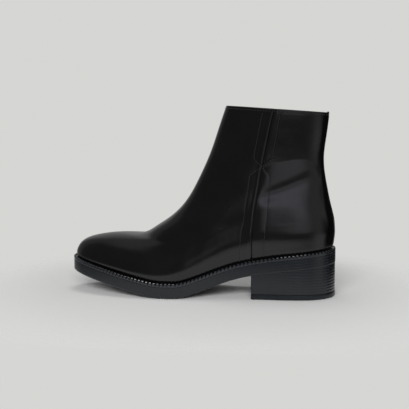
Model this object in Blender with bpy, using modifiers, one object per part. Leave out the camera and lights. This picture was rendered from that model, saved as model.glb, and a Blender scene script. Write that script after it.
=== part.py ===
"""Left ankle boot on a stacked block heel, with a zip on its inner side.

Metres, +Z up. The toe points along -X, the outer side faces -Y, and heel and tread stand on z = 0.
Lengths below are in millimetres. Inside this file a place is (u, y, z): u runs from the back of the
heel towards the toe, y grows towards the inner side of the foot, and z is the height.
"""

import math
from collections import namedtuple

import bmesh
import bpy
import numpy as np
from mathutils import Matrix, Vector

MM = 0.001
OUTER, INNER = -1, 1

# Small steps for the directions of curves: along the boot, up the wall and round a ring
STEP_ALONG = 0.5
STEP_UP = 0.004
STEP_TURN = 0.001
MERGE_DISTANCE = 0.01
WIDTH_SAMPLES = 400

# Driving sizes
LENGTH = 250.0
GAP = 0.3
OUTSOLE_THICKNESS = 10.4
WELT_THICKNESS = 3.2
INSOLE_THICKNESS = 3.0
WALL = 2.0
HEEL_LENGTH = 76.2
TOP_PIECE_THICKNESS = 4.7

# Underside of the outsole: its height at places along the boot, before and after the flat tread
SoleRow = namedtuple("SoleRow", "along height")
TREAD_BACK = 148.0
TREAD_FRONT = 156.0
HEEL_AND_WAIST = [
    SoleRow(0.0, 31.2),
    SoleRow(30.0, 27.9),
    SoleRow(60.0, 24.2),
    SoleRow(75.0, 21.6),
    SoleRow(93.0, 17.2),
    SoleRow(118.0, 8.3),
    SoleRow(132.0, 3.2),
    SoleRow(TREAD_BACK, 0.0),
]
TOE_SPRING = [
    SoleRow(TREAD_FRONT, 0.0),
    SoleRow(172.0, 1.7),
    SoleRow(190.0, 5.4),
    SoleRow(210.0, 9.8),
    SoleRow(LENGTH, 18.8),
]

# Centre line of the foot seen from above: how far it swings to the inner side along the boot
SwayRow = namedtuple("SwayRow", "along swing")
CENTRE_LINE = [
    SwayRow(0.0, 0.0),
    SwayRow(32.0, 0.0),
    SwayRow(93.0, -2.2),
    SwayRow(156.0, 3.5),
    SwayRow(218.0, 6.0),
    SwayRow(LENGTH, 6.5),
]

# A ring goes once round the boot. Its front and back ends lie on the boot's profile. wave says how much
# of the sole's curve it follows between them. Its half widths are given at four stations and its two
# ends by a radius seen from above. sway says how much it follows the centre line.
Ring = namedtuple(
    "Ring",
    "front front_height back back_height wave back_radius heel waist ball toe tip_radius sway",
)
STATION_ANGLES = (40.0, 75.0, 105.0, 140.0)
SOLE_EDGE = Ring(LENGTH, 0.0, 0.0, 0.0, 1.0, 29.0, 30.6, 30.2, 43.6, 30.8, 21.0, 1.0)
FEATHER_RING = Ring(245.5, 0.0, 3.2, 0.0, 1.0, 25.0, 26.8, 26.2, 39.0, 26.8, 17.0, 1.0)
WALL_RINGS = [
    Ring(247.0, 36.8, 1.2, 56.7, 0.97, 26.0, 28.2, 28.0, 40.6, 28.4, 18.5, 1.00),
    Ring(242.0, 45.0, 1.3, 62.8, 0.92, 26.0, 28.1, 28.3, 38.6, 26.4, 15.0, 1.00),
    Ring(224.0, 52.1, 1.8, 68.8, 0.85, 25.5, 27.6, 28.0, 34.5, 24.0, 12.5, 1.00),
    Ring(200.0, 54.4, 2.8, 74.9, 0.76, 24.5, 26.6, 27.0, 31.9, 22.6, 12.5, 0.95),
    Ring(181.0, 54.8, 4.4, 81.5, 0.64, 22.5, 25.1, 26.6, 29.6, 24.4, 18.0, 0.90),
    Ring(169.0, 61.2, 6.3, 89.1, 0.48, 20.0, 22.8, 25.8, 27.2, 22.6, 18.5, 0.80),
    Ring(155.0, 70.7, 8.1, 97.2, 0.33, 17.5, 19.6, 23.8, 24.9, 19.2, 16.0, 0.65),
    Ring(140.0, 85.8, 10.2, 107.3, 0.18, 15.5, 16.8, 21.8, 22.6, 16.8, 14.5, 0.45),
    Ring(128.0, 106.4, 11.7, 119.1, 0.07, 14.3, 15.2, 20.4, 21.2, 15.3, 13.5, 0.25),
    Ring(117.4, 129.7, 12.0, 131.7, 0.00, 14.0, 14.7, 19.9, 20.6, 14.6, 13.0, 0.10),
    Ring(109.6, 152.3, 9.9, 149.5, 0.00, 14.0, 14.8, 20.2, 20.7, 14.3, 12.5, 0.00),
    Ring(102.0, 175.0, 7.8, 168.4, 0.00, 14.0, 15.0, 20.6, 21.0, 14.2, 12.0, 0.00),
]

# How finely the upper is divided: rows from sole to collar, closer near the sole, and columns on each
# side of the side seams
UPPER_ROWS = 25
ROW_EASE = 1.25
FRONT_COLUMNS = 22
BACK_COLUMNS = 8

# Side seams, outside and inside, at the collar and at the sole
SEAM_TOP = 57.0
SEAM_FOOT = 75.8
SEAM_BOW = 5.7
SEAM_HALF_WIDTH = 1.3
SEAM_RIDGE = 0.5
SEAM_GROOVE = 0.6
SEAM_FADE = 0.06

# Zip
ZIP_FOOT_PLACE = 0.17
ZIP_END_MARGIN = 0.006
SLOT_HALF_WIDTH = 2.2
TAPE_WIDTH = 11.0
TAPE_THICKNESS = 0.8
TAPE_SPLIT = 0.5
CHAIN_HALF_WIDTH = 1.8
CHAIN_SINK = 0.6
CHAIN_THICKNESS = 1.1

# Zip slider, in its own axes: x along the boot, y up the zip, z off the leather
SLIDER_PLACE = 0.958
SLIDER_WIDTH = 6.6
SLIDER_LENGTH = 9.0
SLIDER_LIFT = 0.3
SLIDER_PLATE = 1.4
SLIDER_ROUNDING = 0.4
CORE_WIDTH = 3.0
CORE_LENGTH = 6.5
CORE_SINK = 0.25
BAIL_WIDTH = 1.6
BAIL_LENGTH = 6.0
BAIL_THICKNESS = 0.8

# Zip pull tab, hanging from its end bar under the slider's bail
TAB_THICKNESS = 1.2
TAB_BAR = 1.2
BAR_PLAY = 0.25
TAB_HEAD_WIDTH = 4.4
TAB_WIDTH = 6.0
TAB_LENGTH = 17.0
TAB_SHOULDER = 6.5
TAB_CORNER = 1.6
TAB_CORNER_STEPS = 4
WINDOW_WIDTH = 2.5
WINDOW_REACH = 4.1

# Sole and heel
OUTLINE_STEPS = 50
EDGE_CHAMFER = 0.6
TREAD_CHAMFER = 1.2
WELT_CLEARANCE = 0.35
WELT_TOP_PLACE = 0.045
INSOLE_CLEARANCE = 0.9
HEEL_STEP = 0.25
HEEL_FLARE = 0.15
TOP_PIECE_STEP = 0.1
RIB_PITCH = 2.65
RIB_GROOVE_WIDTH = 0.9
RIB_GROOVE_DEPTH = 0.45
LEAST_RIB = 0.2
HEEL_STEPS = 13

BLACK_LEATHER = ("black_leather", (0.012, 0.012, 0.013), 0.32, 0.0)
BLACK_LINING = ("black_lining", (0.02, 0.02, 0.021), 0.7, 0.0)
BLACK_RUBBER = ("black_rubber", (0.02, 0.021, 0.023), 0.45, 0.0)
BLACK_WELT = ("black_welt", (0.018, 0.018, 0.019), 0.4, 0.0)
BLACK_HEEL = ("black_heel", (0.017, 0.017, 0.018), 0.38, 0.0)
BLACK_TAPE = ("black_tape", (0.014, 0.014, 0.015), 0.85, 0.0)
BLACK_METAL = ("black_metal", (0.025, 0.025, 0.027), 0.35, 0.6)


def spline(knots, values):
    """Natural cubic spline through the knots. values may hold several columns."""
    x = np.asarray(knots, float)
    y = np.asarray(values, float)
    step = np.diff(x)
    last = len(x) - 1
    system = np.eye(last + 1)
    right = np.zeros_like(y)
    for i in range(1, last):
        system[i, i - 1:i + 2] = step[i - 1], 2 * (step[i - 1] + step[i]), step[i]
        right[i] = 6 * ((y[i + 1] - y[i]) / step[i] - (y[i] - y[i - 1]) / step[i - 1])
    bend = np.linalg.solve(system, right)

    def at(place):
        place = min(max(place, x[0]), x[-1])
        i = min(max(int(np.searchsorted(x, place)) - 1, 0), last - 1)
        before = (place - x[i]) / step[i]
        after = 1 - before
        lift = (after ** 3 - after) * bend[i] + (before ** 3 - before) * bend[i + 1]
        return after * y[i] + before * y[i + 1] + lift * step[i] ** 2 / 6

    return at


def level_ended_spline(rows, level_end):
    """Spline of a sole table, mirrored past the row at level_end so that it arrives there level."""
    neighbour = rows[-2] if level_end == len(rows) - 1 else rows[1]
    end = rows[level_end]
    mirrored = SoleRow(2 * end.along - neighbour.along, neighbour.height)
    knots = sorted(rows + [mirrored])
    return spline([row.along for row in knots], [row.height for row in knots])


waist_line = level_ended_spline(HEEL_AND_WAIST, len(HEEL_AND_WAIST) - 1)
toe_line = level_ended_spline(TOE_SPRING, 0)
centre_line = spline([row.along for row in CENTRE_LINE], [row.swing for row in CENTRE_LINE])


def sole_bottom(u):
    """Height of the outsole's underside: heel seat and waist, flat tread, toe spring."""
    if u <= TREAD_BACK:
        return float(waist_line(u))
    if u >= TREAD_FRONT:
        return float(toe_line(u))
    return 0.0


def sole_top(u):
    return sole_bottom(u) + OUTSOLE_THICKNESS


def feather_line(u):
    """Height where the upper's lower edge stands over the outsole."""
    return sole_top(u) + GAP


def on_feather_line(ring):
    """The same ring with both ends set down on the feather line."""
    heights = {"front_height": feather_line(ring.front), "back_height": feather_line(ring.back)}
    return ring._replace(**heights)


UPPER_RINGS = [on_feather_line(FEATHER_RING), *WALL_RINGS]


def ring_knots():
    """Places of the rings between sole and collar, from 0 to 1, by their mean distance at front and back."""
    places = [0.0]
    for low, high in zip(UPPER_RINGS, UPPER_RINGS[1:]):
        front = math.hypot(high.front - low.front, high.front_height - low.front_height)
        back = math.hypot(high.back - low.back, high.back_height - low.back_height)
        places.append(places[-1] + (front + back) / 2)
    return [place / places[-1] for place in places]


ring_columns = spline(ring_knots(), UPPER_RINGS)


class Loop:
    """One ring of the boot, as points by angle: 180 degrees at the toe end, 0 at the heel."""

    def __init__(self, ring):
        self.ring = ring
        self.half_length = (ring.front - ring.back) / 2
        half_widths = (ring.heel, ring.waist, ring.ball, ring.toe)
        reach = [width / math.sin(math.radians(a)) for width, a in zip(half_widths, STATION_ANGLES)]
        tail = math.sqrt(ring.back_radius * self.half_length)
        nose = math.sqrt(ring.tip_radius * self.half_length)
        angles = [0.0, *STATION_ANGLES, 180.0]
        reach = [tail, *reach, nose]
        # Mirrored past both ends, so that the loop closes smoothly at toe and heel
        angles = [-angles[2], -angles[1], *angles, 360.0 - angles[4], 360.0 - angles[3]]
        reach = [reach[2], reach[1], *reach, reach[4], reach[3]]
        self.reach = spline(np.radians(angles), reach)

    def along(self, angle):
        return self.ring.back + self.half_length * (1 - math.cos(angle))

    def angle_at(self, u):
        return math.acos(min(max(1 - (u - self.ring.back) / self.half_length, -1), 1))

    def height(self, u):
        """Feather line near the sole, fading to the straight slope between the ring's two ends."""
        ring = self.ring
        share = (u - ring.back) / (ring.front - ring.back)
        back = ring.back_height - ring.wave * feather_line(ring.back)
        front = ring.front_height - ring.wave * feather_line(ring.front)
        return back + (front - back) * share + ring.wave * feather_line(u)

    def point(self, angle, side):
        u = self.along(angle)
        y = self.ring.sway * float(centre_line(u)) + side * math.sin(angle) * float(self.reach(angle))
        return np.array([u, y, self.height(u)])


def upper_loop(v):
    return Loop(Ring(*ring_columns(v)))


def seam_along(v):
    """Place of both side seams: a bowed line from the sole to the collar."""
    return SEAM_FOOT + (SEAM_TOP - SEAM_FOOT) * v + SEAM_BOW * 4 * v * (1 - v)


def upper_point(v, u, side):
    loop = upper_loop(v)
    return loop.point(loop.angle_at(u), side)


def upper_normal(v, u, side):
    """Outward direction of the upper's surface, from small steps along and up the wall."""
    along = upper_point(v, u + STEP_ALONG, side) - upper_point(v, u - STEP_ALONG, side)
    top = min(v + STEP_UP, 1.0)
    up = upper_point(top, u, side) - upper_point(top - 2 * STEP_UP, u, side)
    normal = np.cross(up, along) * side
    return normal / np.linalg.norm(normal)


def off_upper(v, u, side, lift):
    """A place at a distance off the upper's outer surface, outward where lift is positive."""
    return upper_point(v, u, side) + lift * upper_normal(v, u, side)


def outline_middle():
    """Middle of the sole's width, which becomes y = 0 in the boot's frame."""
    loop = Loop(SOLE_EDGE)
    angles = np.linspace(0, math.pi, WIDTH_SAMPLES)
    inner = max(loop.point(angle, INNER)[1] for angle in angles)
    outer = min(loop.point(angle, OUTER)[1] for angle in angles)
    return (inner + outer) / 2


MIDDLE = outline_middle()


def to_frame(place):
    """From (u, y, z) in millimetres to the boot's frame in metres."""
    u, y, z = place
    return Vector((LENGTH / 2 - u, y - MIDDLE, z)) * MM


def to_frame_direction(direction):
    return Vector((-direction[0], direction[1], direction[2]))


def new_material(name, colour, roughness, metallic):
    material = bpy.data.materials.get(name) or bpy.data.materials.new(name)
    material.use_nodes = True
    shader = material.node_tree.nodes["Principled BSDF"]
    shader.inputs["Base Color"].default_value = (*colour, 1.0)
    shader.inputs["Roughness"].default_value = roughness
    shader.inputs["Metallic"].default_value = metallic
    return material


def new_collection(name):
    collection = bpy.data.collections.new(name)
    bpy.context.scene.collection.children.link(collection)
    return collection


def add_mesh(name, collection, finish, places, faces, smooth_angle=35.0):
    """A named object from places in (u, y, z) and faces, with its faces turned outward."""
    mesh = bpy.data.meshes.new(name)
    mesh.from_pydata([to_frame(place) for place in places], [], faces)
    shape = bmesh.new()
    shape.from_mesh(mesh)
    bmesh.ops.remove_doubles(shape, verts=shape.verts, dist=MERGE_DISTANCE * MM)
    bmesh.ops.dissolve_degenerate(shape, edges=shape.edges, dist=MERGE_DISTANCE * MM)
    bmesh.ops.recalc_face_normals(shape, faces=shape.faces)
    shape.to_mesh(mesh)
    shape.free()
    mesh.shade_smooth()
    mesh.set_sharp_from_angle(angle=math.radians(smooth_angle))
    mesh.materials.append(new_material(*finish))
    part = bpy.data.objects.new(name, mesh)
    collection.objects.link(part)
    return part


def band_faces(rows, columns, closed_rows):
    """Quads between neighbouring rows of a grid. It closes round its columns, and round its rows if asked."""
    faces = []
    for row in range(rows if closed_rows else rows - 1):
        for column in range(columns):
            after = (column + 1) % columns
            above = (row + 1) % rows
            faces.append((
                row * columns + column,
                row * columns + after,
                above * columns + after,
                above * columns + column,
            ))
    return faces


def plate_faces(first, half):
    """Cap of a loop whose two sides are paired: strips across, from end to end."""
    last = 2 * half - 2
    faces = [(first, first + 1, first + last - 1)]
    for i in range(1, half - 2):
        faces.append((first + i, first + i + 1, first + last - i - 1, first + last - i))
    faces.append((first + half - 2, first + half - 1, first + half))
    return faces


def outline(loop, angles, inset):
    """A closed outline seen from above, from the first angle along the outer side and back on the inner
    side, drawn in by inset. Heights are left to the caller."""

    def drawn_in(angle, side):
        u, y, _ = loop.point(angle, side)
        if inset == 0:
            return u, y
        low, high = max(angle - STEP_TURN, 0.0), min(angle + STEP_TURN, math.pi)
        run = loop.point(high, side)[:2] - loop.point(low, side)[:2]
        run /= np.linalg.norm(run)
        return u + inset * side * run[1], y - inset * side * run[0]

    outer = [drawn_in(angle, OUTER) for angle in angles]
    inner = [drawn_in(angle, INNER) for angle in angles]
    return outer + inner[-2:0:-1]


def whole_loop_angles(steps):
    return np.linspace(math.pi, 0.0, steps + 1)


def loft(name, collection, finish, loops, half):
    """A solid through closed loops of equal count, capped at the first and the last."""
    count = len(loops[0])
    places = [place for loop in loops for place in loop]
    faces = band_faces(len(loops), count, closed_rows=False)
    faces += plate_faces(0, half)
    faces += plate_faces((len(loops) - 1) * count, half)
    return add_mesh(name, collection, finish, places, faces)


def row_places():
    """Places of the upper's rows between sole and collar, from 0 to 1."""
    return [(row / (UPPER_ROWS - 1)) ** ROW_EASE for row in range(UPPER_ROWS)]


def zip_rows():
    """The rows from the foot of the zip up to the collar."""
    return [v for v in row_places() if v >= ZIP_FOOT_PLACE]


def make_upper(parts):
    """The leather wall: one loft from feather line to collar, open at both and at the zip, made thick."""
    places = []
    for v in row_places():
        places += upper_row(v)
    columns = len(places) // UPPER_ROWS
    slot_column = columns - FRONT_COLUMNS - 1
    slot_foot = UPPER_ROWS - len(zip_rows())
    faces = []
    for index, face in enumerate(band_faces(UPPER_ROWS, columns, closed_rows=False)):
        row, column = divmod(index, columns)
        if column == slot_column and row >= slot_foot:
            continue
        faces.append(face)
    upper = add_mesh("upper", parts, BLACK_LEATHER, places, faces)
    wall = upper.modifiers.new("Wall", "SOLIDIFY")
    wall.thickness = WALL * MM
    wall.offset = -1.0
    wall.use_even_offset = True
    return upper


def upper_row(v):
    """Places of one row of the upper: toe, outer side, heel, inner side."""
    loop = upper_loop(v)
    seam = seam_along(v)

    def side_row(side, half_width):
        front = np.linspace(math.pi, loop.angle_at(seam + half_width), FRONT_COLUMNS + 1)
        back = np.linspace(loop.angle_at(seam - half_width), 0.0, BACK_COLUMNS + 1)
        return [loop.point(a, side) for a in front], [loop.point(a, side) for a in back]

    outer_front, outer_back = side_row(OUTER, SEAM_HALF_WIDTH)
    inner_front, inner_back = side_row(INNER, SLOT_HALF_WIDTH)
    relief = min(max((v - WELT_TOP_PLACE) / SEAM_FADE, 0.0), 1.0)
    outer_front[-1] = off_upper(v, seam + SEAM_HALF_WIDTH, OUTER, relief * SEAM_RIDGE)
    groove = off_upper(v, seam, OUTER, -relief * SEAM_GROOVE)
    return outer_front + [groove] + outer_back + inner_back[-2::-1] + inner_front[:0:-1]


def make_outsole(parts):
    """Plate from heel seat to toe with a rounded tread edge."""
    loop = Loop(SOLE_EDGE)
    angles = whole_loop_angles(OUTLINE_STEPS)
    levels = [
        (TREAD_CHAMFER, 0.0),
        (0.0, TREAD_CHAMFER),
        (0.0, OUTSOLE_THICKNESS - EDGE_CHAMFER),
        (EDGE_CHAMFER, OUTSOLE_THICKNESS),
    ]
    loops = []
    for inset, lift in levels:
        loops.append([(u, y, sole_bottom(u) + lift) for u, y in outline(loop, angles, inset)])
    return loft("outsole", parts, BLACK_RUBBER, loops, OUTLINE_STEPS + 1)


def make_welt(parts):
    """Storm welt: a strip that fills the ledge between the sole's edge and the upper, all the way round."""
    edge = Loop(SOLE_EDGE)
    angles = whole_loop_angles(OUTLINE_STEPS)
    top = GAP + WELT_THICKNESS
    rows = []
    side = (
        (EDGE_CHAMFER, GAP),
        (0.0, GAP + EDGE_CHAMFER),
        (0.0, top - EDGE_CHAMFER),
        (EDGE_CHAMFER, top),
    )
    for inset, lift in side:
        rows.append([(u, y, sole_top(u) + lift) for u, y in outline(edge, angles, inset)])
    for v, lift in ((WELT_TOP_PLACE, top), (0.0, GAP)):
        wall = outline(upper_loop(v), angles, -WELT_CLEARANCE)
        rows.append([(u, y, sole_top(u) + lift) for u, y in wall])
    places = [place for row in rows for place in row]
    faces = band_faces(len(rows), len(rows[0]), closed_rows=True)
    return add_mesh("welt", parts, BLACK_WELT, places, faces)


def make_insole(parts):
    """Plate that closes the upper's bottom from inside."""
    loop = upper_loop(0.0)
    angles = whole_loop_angles(OUTLINE_STEPS)
    inset = WALL + INSOLE_CLEARANCE
    loops = []
    for lift in (GAP, GAP + INSOLE_THICKNESS):
        loops.append([(u, y, sole_top(u) + lift) for u, y in outline(loop, angles, inset)])
    return loft("insole", parts, BLACK_LINING, loops, OUTLINE_STEPS + 1)


def heel_outline(inset):
    """The sole's outline behind the breast, closed by the breast's straight line."""
    loop = Loop(SOLE_EDGE)
    angles = np.linspace(loop.angle_at(HEEL_LENGTH), 0.0, HEEL_STEPS + 1)
    places = outline(loop, angles, inset)
    places.append(drawn_breast(loop, INNER, inset))
    places[0] = drawn_breast(loop, OUTER, inset)
    return places


def drawn_breast(loop, side, inset):
    """A corner of the breast, drawn in along the breast's own line."""
    u, y, _ = loop.point(loop.angle_at(HEEL_LENGTH), side)
    return u, y - side * inset


def heel_plate_faces(first):
    count = 2 * HEEL_STEPS + 1
    faces = []
    for i in range(HEEL_STEPS):
        opposite = count - 1 - i
        corners = [first + i, first + i + 1, first + opposite - 1, first + opposite]
        faces.append(tuple(dict.fromkeys(corners)))
    return faces


def heel_loft(name, parts, finish, loops):
    count = len(loops[0])
    places = [place for loop in loops for place in loop]
    faces = band_faces(len(loops), count, closed_rows=False)
    faces += heel_plate_faces(0)
    faces += heel_plate_faces((len(loops) - 1) * count)
    return add_mesh(name, parts, finish, places, faces)


def make_heel_block(parts):
    """Stacked block: level grooves between its layers, cut off by the outsole's slope."""
    foot = TOP_PIECE_THICKNESS + GAP
    crown = sole_bottom(0.0)
    levels = [(foot, 0.0)]
    groove = foot + RIB_PITCH
    while groove < crown:
        half = RIB_GROOVE_WIDTH / 2
        levels += [(groove - half, 0.0), (groove, RIB_GROOVE_DEPTH), (groove + half, 0.0)]
        groove += RIB_PITCH
    levels.append((crown, 0.0))
    loops = []
    for level, depth in levels:
        flare = HEEL_FLARE * (1 - level / crown)
        loop = []
        side = heel_outline(HEEL_STEP - flare + depth)
        for (u, y), (top_u, top_y) in zip(side, heel_outline(HEEL_STEP)):
            ceiling = sole_bottom(top_u) - GAP
            loop.append((u, y, level) if level < ceiling - LEAST_RIB else (top_u, top_y, ceiling))
        loops.append(loop)
    return heel_loft("heel_block", parts, BLACK_HEEL, loops)


def make_heel_top_piece(parts):
    """Flat wearing plate, a step wider than the block above it."""
    edge = HEEL_STEP - HEEL_FLARE - TOP_PIECE_STEP
    levels = [
        (edge + EDGE_CHAMFER, 0.0),
        (edge, EDGE_CHAMFER),
        (edge, TOP_PIECE_THICKNESS - EDGE_CHAMFER),
        (edge + EDGE_CHAMFER, TOP_PIECE_THICKNESS),
    ]
    loops = [[(u, y, level) for u, y in heel_outline(inset)] for inset, level in levels]
    return heel_loft("heel_top_piece", parts, BLACK_RUBBER, loops)


def zip_strip(name, parts, finish, edges, lift, thickness):
    """A strip that follows the inner wall along the zip, between edges fore and aft of its line."""
    places_up = zip_rows()
    places_up[0] += ZIP_END_MARGIN
    places_up[-1] -= ZIP_END_MARGIN
    rows = []
    for v in places_up:
        seam = seam_along(v)
        near = [off_upper(v, seam + edge, INNER, lift) for edge in edges]
        far = [off_upper(v, seam + edge, INNER, lift - thickness) for edge in reversed(edges)]
        rows.append(near + far)
    count = len(rows[0])
    places = [place for row in rows for place in row]
    faces = band_faces(len(rows), count, closed_rows=False)
    for first in (0, (len(rows) - 1) * count):
        for i in range(len(edges) - 1):
            faces.append((first + i, first + i + 1, first + count - 2 - i, first + count - 1 - i))
    return add_mesh(name, parts, finish, places, faces)


def make_zip_strips(parts):
    """Two tapes behind the leather and the closed chain between its edges."""
    lift = -WALL - GAP
    middle = TAPE_SPLIT + TAPE_WIDTH / 2
    outer = TAPE_SPLIT + TAPE_WIDTH
    zip_strip("zip_tape_front", parts, BLACK_TAPE, [outer, middle, TAPE_SPLIT], lift, TAPE_THICKNESS)
    zip_strip("zip_tape_back", parts, BLACK_TAPE, [-TAPE_SPLIT, -middle, -outer], lift, TAPE_THICKNESS)
    chain_edges = [CHAIN_HALF_WIDTH, -CHAIN_HALF_WIDTH]
    zip_strip("zip_chain", parts, BLACK_METAL, chain_edges, -CHAIN_SINK, CHAIN_THICKNESS)


def axes_matrix(origin, along, up):
    """Placement from an origin, the direction of x and the direction of y."""
    off = along.cross(up)
    matrix = Matrix((along, up, off)).transposed().to_4x4()
    matrix.translation = origin
    return matrix


def slider_matrix():
    """The slider's place on the leather: x along the boot, y up the zip, z off the leather."""
    def on_zip(v):
        return to_frame(upper_point(v, seam_along(v), INNER))

    origin = on_zip(SLIDER_PLACE)
    off = to_frame_direction(upper_normal(SLIDER_PLACE, seam_along(SLIDER_PLACE), INNER)).normalized()
    up = on_zip(SLIDER_PLACE + STEP_UP) - on_zip(SLIDER_PLACE - STEP_UP)
    up = (up - off * up.dot(off)).normalized()
    return axes_matrix(origin, up.cross(off), up)


def tab_matrix(slider):
    """The tab's place: its origin on the end bar's axis, its length hanging straight down."""
    along = slider.to_3x3().col[0]
    up = Vector((0.0, 0.0, 1.0))
    up = (up - along * up.dot(along)).normalized()
    origin = slider @ Vector((0.0, 0.0, bar_height() * MM))
    return axes_matrix(origin, along, up)


def bar_turning_radius():
    """Half diagonal of the end bar's section."""
    return math.hypot(TAB_BAR, TAB_THICKNESS) / 2


def bar_height():
    """Height of the end bar's axis off the leather: over the slider's plate, with room to turn."""
    return SLIDER_LIFT + SLIDER_PLATE + bar_turning_radius() + BAR_PLAY


def add_block(name, collection, size, middle):
    """A box in the slider's axes, in millimetres."""
    mesh = bpy.data.meshes.new(name)
    shape = bmesh.new()
    placing = Matrix.Translation(Vector(middle) * MM) @ Matrix.Diagonal((*(Vector(size) * MM), 1.0))
    bmesh.ops.create_cube(shape, size=1.0, matrix=placing)
    shape.to_mesh(mesh)
    shape.free()
    block = bpy.data.objects.new(name, mesh)
    collection.objects.link(block)
    return block


def add_staple(name, collection, feet):
    """The bail: a bridge over the end bar on two feet, which reach down to the height of feet."""
    underside = bar_height() + bar_turning_radius() + BAR_PLAY
    crown = underside + BAIL_THICKNESS
    reach = BAIL_LENGTH / 2
    inside = reach - BAIL_THICKNESS
    side_view = [
        (-reach, feet), (-inside, feet), (-inside, underside), (inside, underside),
        (inside, feet), (reach, feet), (reach, crown), (-reach, crown),
    ]
    mesh = bpy.data.meshes.new(name)
    shape = bmesh.new()
    corners = [shape.verts.new(Vector((-BAIL_WIDTH / 2, y, z)) * MM) for y, z in side_view]
    face = shape.faces.new(corners)
    grown = bmesh.ops.extrude_face_region(shape, geom=[face])["geom"]
    moved = [item for item in grown if isinstance(item, bmesh.types.BMVert)]
    bmesh.ops.translate(shape, verts=moved, vec=Vector((BAIL_WIDTH * MM, 0.0, 0.0)))
    bmesh.ops.recalc_face_normals(shape, faces=shape.faces)
    shape.to_mesh(mesh)
    shape.free()
    staple = bpy.data.objects.new(name, mesh)
    collection.objects.link(staple)
    return staple


def join_block(target, other):
    other.hide_render = True
    other.display_type = "WIRE"
    join = target.modifiers.new(other.name, "BOOLEAN")
    join.operation = "UNION"
    join.object = other


def make_zip_slider(parts, cutters):
    """Plate on the leather, with a core in the slot and a bail for the pull tab."""
    mount = bpy.data.objects.new("zip_slider_mount", None)
    mount.matrix_world = slider_matrix()
    parts.objects.link(mount)
    plate_middle = SLIDER_LIFT + SLIDER_PLATE / 2
    slider = add_block("zip_slider", parts, (SLIDER_WIDTH, SLIDER_LENGTH, SLIDER_PLATE), (0, 0, plate_middle))
    slider.data.materials.append(new_material(*BLACK_METAL))
    rounding = slider.modifiers.new("Rounding", "BEVEL")
    rounding.width = SLIDER_ROUNDING * MM
    rounding.segments = 2
    core_size = (CORE_WIDTH, CORE_LENGTH, plate_middle + CORE_SINK)
    core = add_block("slider_core", cutters, core_size, (0, 0, (plate_middle - CORE_SINK) / 2))
    bail = add_staple("slider_bail", cutters, plate_middle)
    for item in (slider, core, bail):
        item.parent = mount
    join_block(slider, core)
    join_block(slider, bail)
    return mount


def tab_outline():
    """The tab's outline round its end: head, shoulders and a rounded foot."""
    head = TAB_HEAD_WIDTH / 2
    side = TAB_WIDTH / 2
    foot = TAB_BAR / 2 - TAB_LENGTH
    half = [(head, TAB_BAR / 2), (head, -WINDOW_REACH), (side, -TAB_SHOULDER)]
    for step in range(TAB_CORNER_STEPS + 1):
        turn = math.pi / 2 * step / TAB_CORNER_STEPS
        x = side - TAB_CORNER + TAB_CORNER * math.cos(turn)
        half.append((x, foot + TAB_CORNER - TAB_CORNER * math.sin(turn)))
    return half + [(-x, y) for x, y in reversed(half)]


def make_zip_pull_tab(parts, mount):
    """Flat tab with a window, through which the slider's bail passes."""
    window = WINDOW_WIDTH / 2
    bar = -TAB_BAR / 2
    window_outline = [(window, bar), (-window, bar), (-window, -WINDOW_REACH), (window, -WINDOW_REACH)]
    shape = bpy.data.curves.new("zip_pull_tab", "CURVE")
    shape.dimensions = "2D"
    shape.fill_mode = "BOTH"
    shape.extrude = TAB_THICKNESS / 2 * MM
    for corners in (tab_outline(), window_outline):
        path = shape.splines.new("POLY")
        path.points.add(len(corners) - 1)
        for point, (x, y) in zip(path.points, corners):
            point.co = (x * MM, y * MM, 0.0, 1.0)
        path.use_cyclic_u = True
    shape.materials.append(new_material(*BLACK_METAL))
    tab = bpy.data.objects.new("zip_pull_tab", shape)
    parts.objects.link(tab)
    tab.parent = mount
    tab.matrix_parent_inverse = mount.matrix_world.inverted()
    tab.matrix_basis = tab_matrix(mount.matrix_world)
    return tab


def clear_scene():
    for item in list(bpy.data.objects):
        bpy.data.objects.remove(item, do_unlink=True)


def main():
    clear_scene()
    parts = new_collection("ankle_boot")
    cutters = new_collection("joined_shapes")
    make_outsole(parts)
    make_welt(parts)
    make_insole(parts)
    make_upper(parts)
    make_heel_block(parts)
    make_heel_top_piece(parts)
    make_zip_strips(parts)
    mount = make_zip_slider(parts, cutters)
    make_zip_pull_tab(parts, mount)


main()
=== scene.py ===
"""Looks of the left ankle boot: stitched leather, notched welt, ribbed heel, zip, and a pale studio.

Metres, +Z up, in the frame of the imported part. Lengths below are in millimetres. As in the part, a place
inside this file is (u, y, z): u runs from the back of the heel towards the toe, y grows towards the inner
side of the foot, and z is the height. Places are numpy arrays, whose last axis holds u, y and z.
"""

import math
from collections import namedtuple

import bmesh
import bpy
import numpy as np
from mathutils import Matrix, Vector


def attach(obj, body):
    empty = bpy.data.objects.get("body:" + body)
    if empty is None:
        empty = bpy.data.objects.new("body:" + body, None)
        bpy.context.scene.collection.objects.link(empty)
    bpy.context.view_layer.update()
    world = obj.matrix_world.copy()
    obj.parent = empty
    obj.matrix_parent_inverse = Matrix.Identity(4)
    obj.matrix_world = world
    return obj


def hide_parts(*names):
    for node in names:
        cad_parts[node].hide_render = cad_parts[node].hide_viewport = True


MM = 0.001
OUTER, INNER = -1, 1

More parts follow.
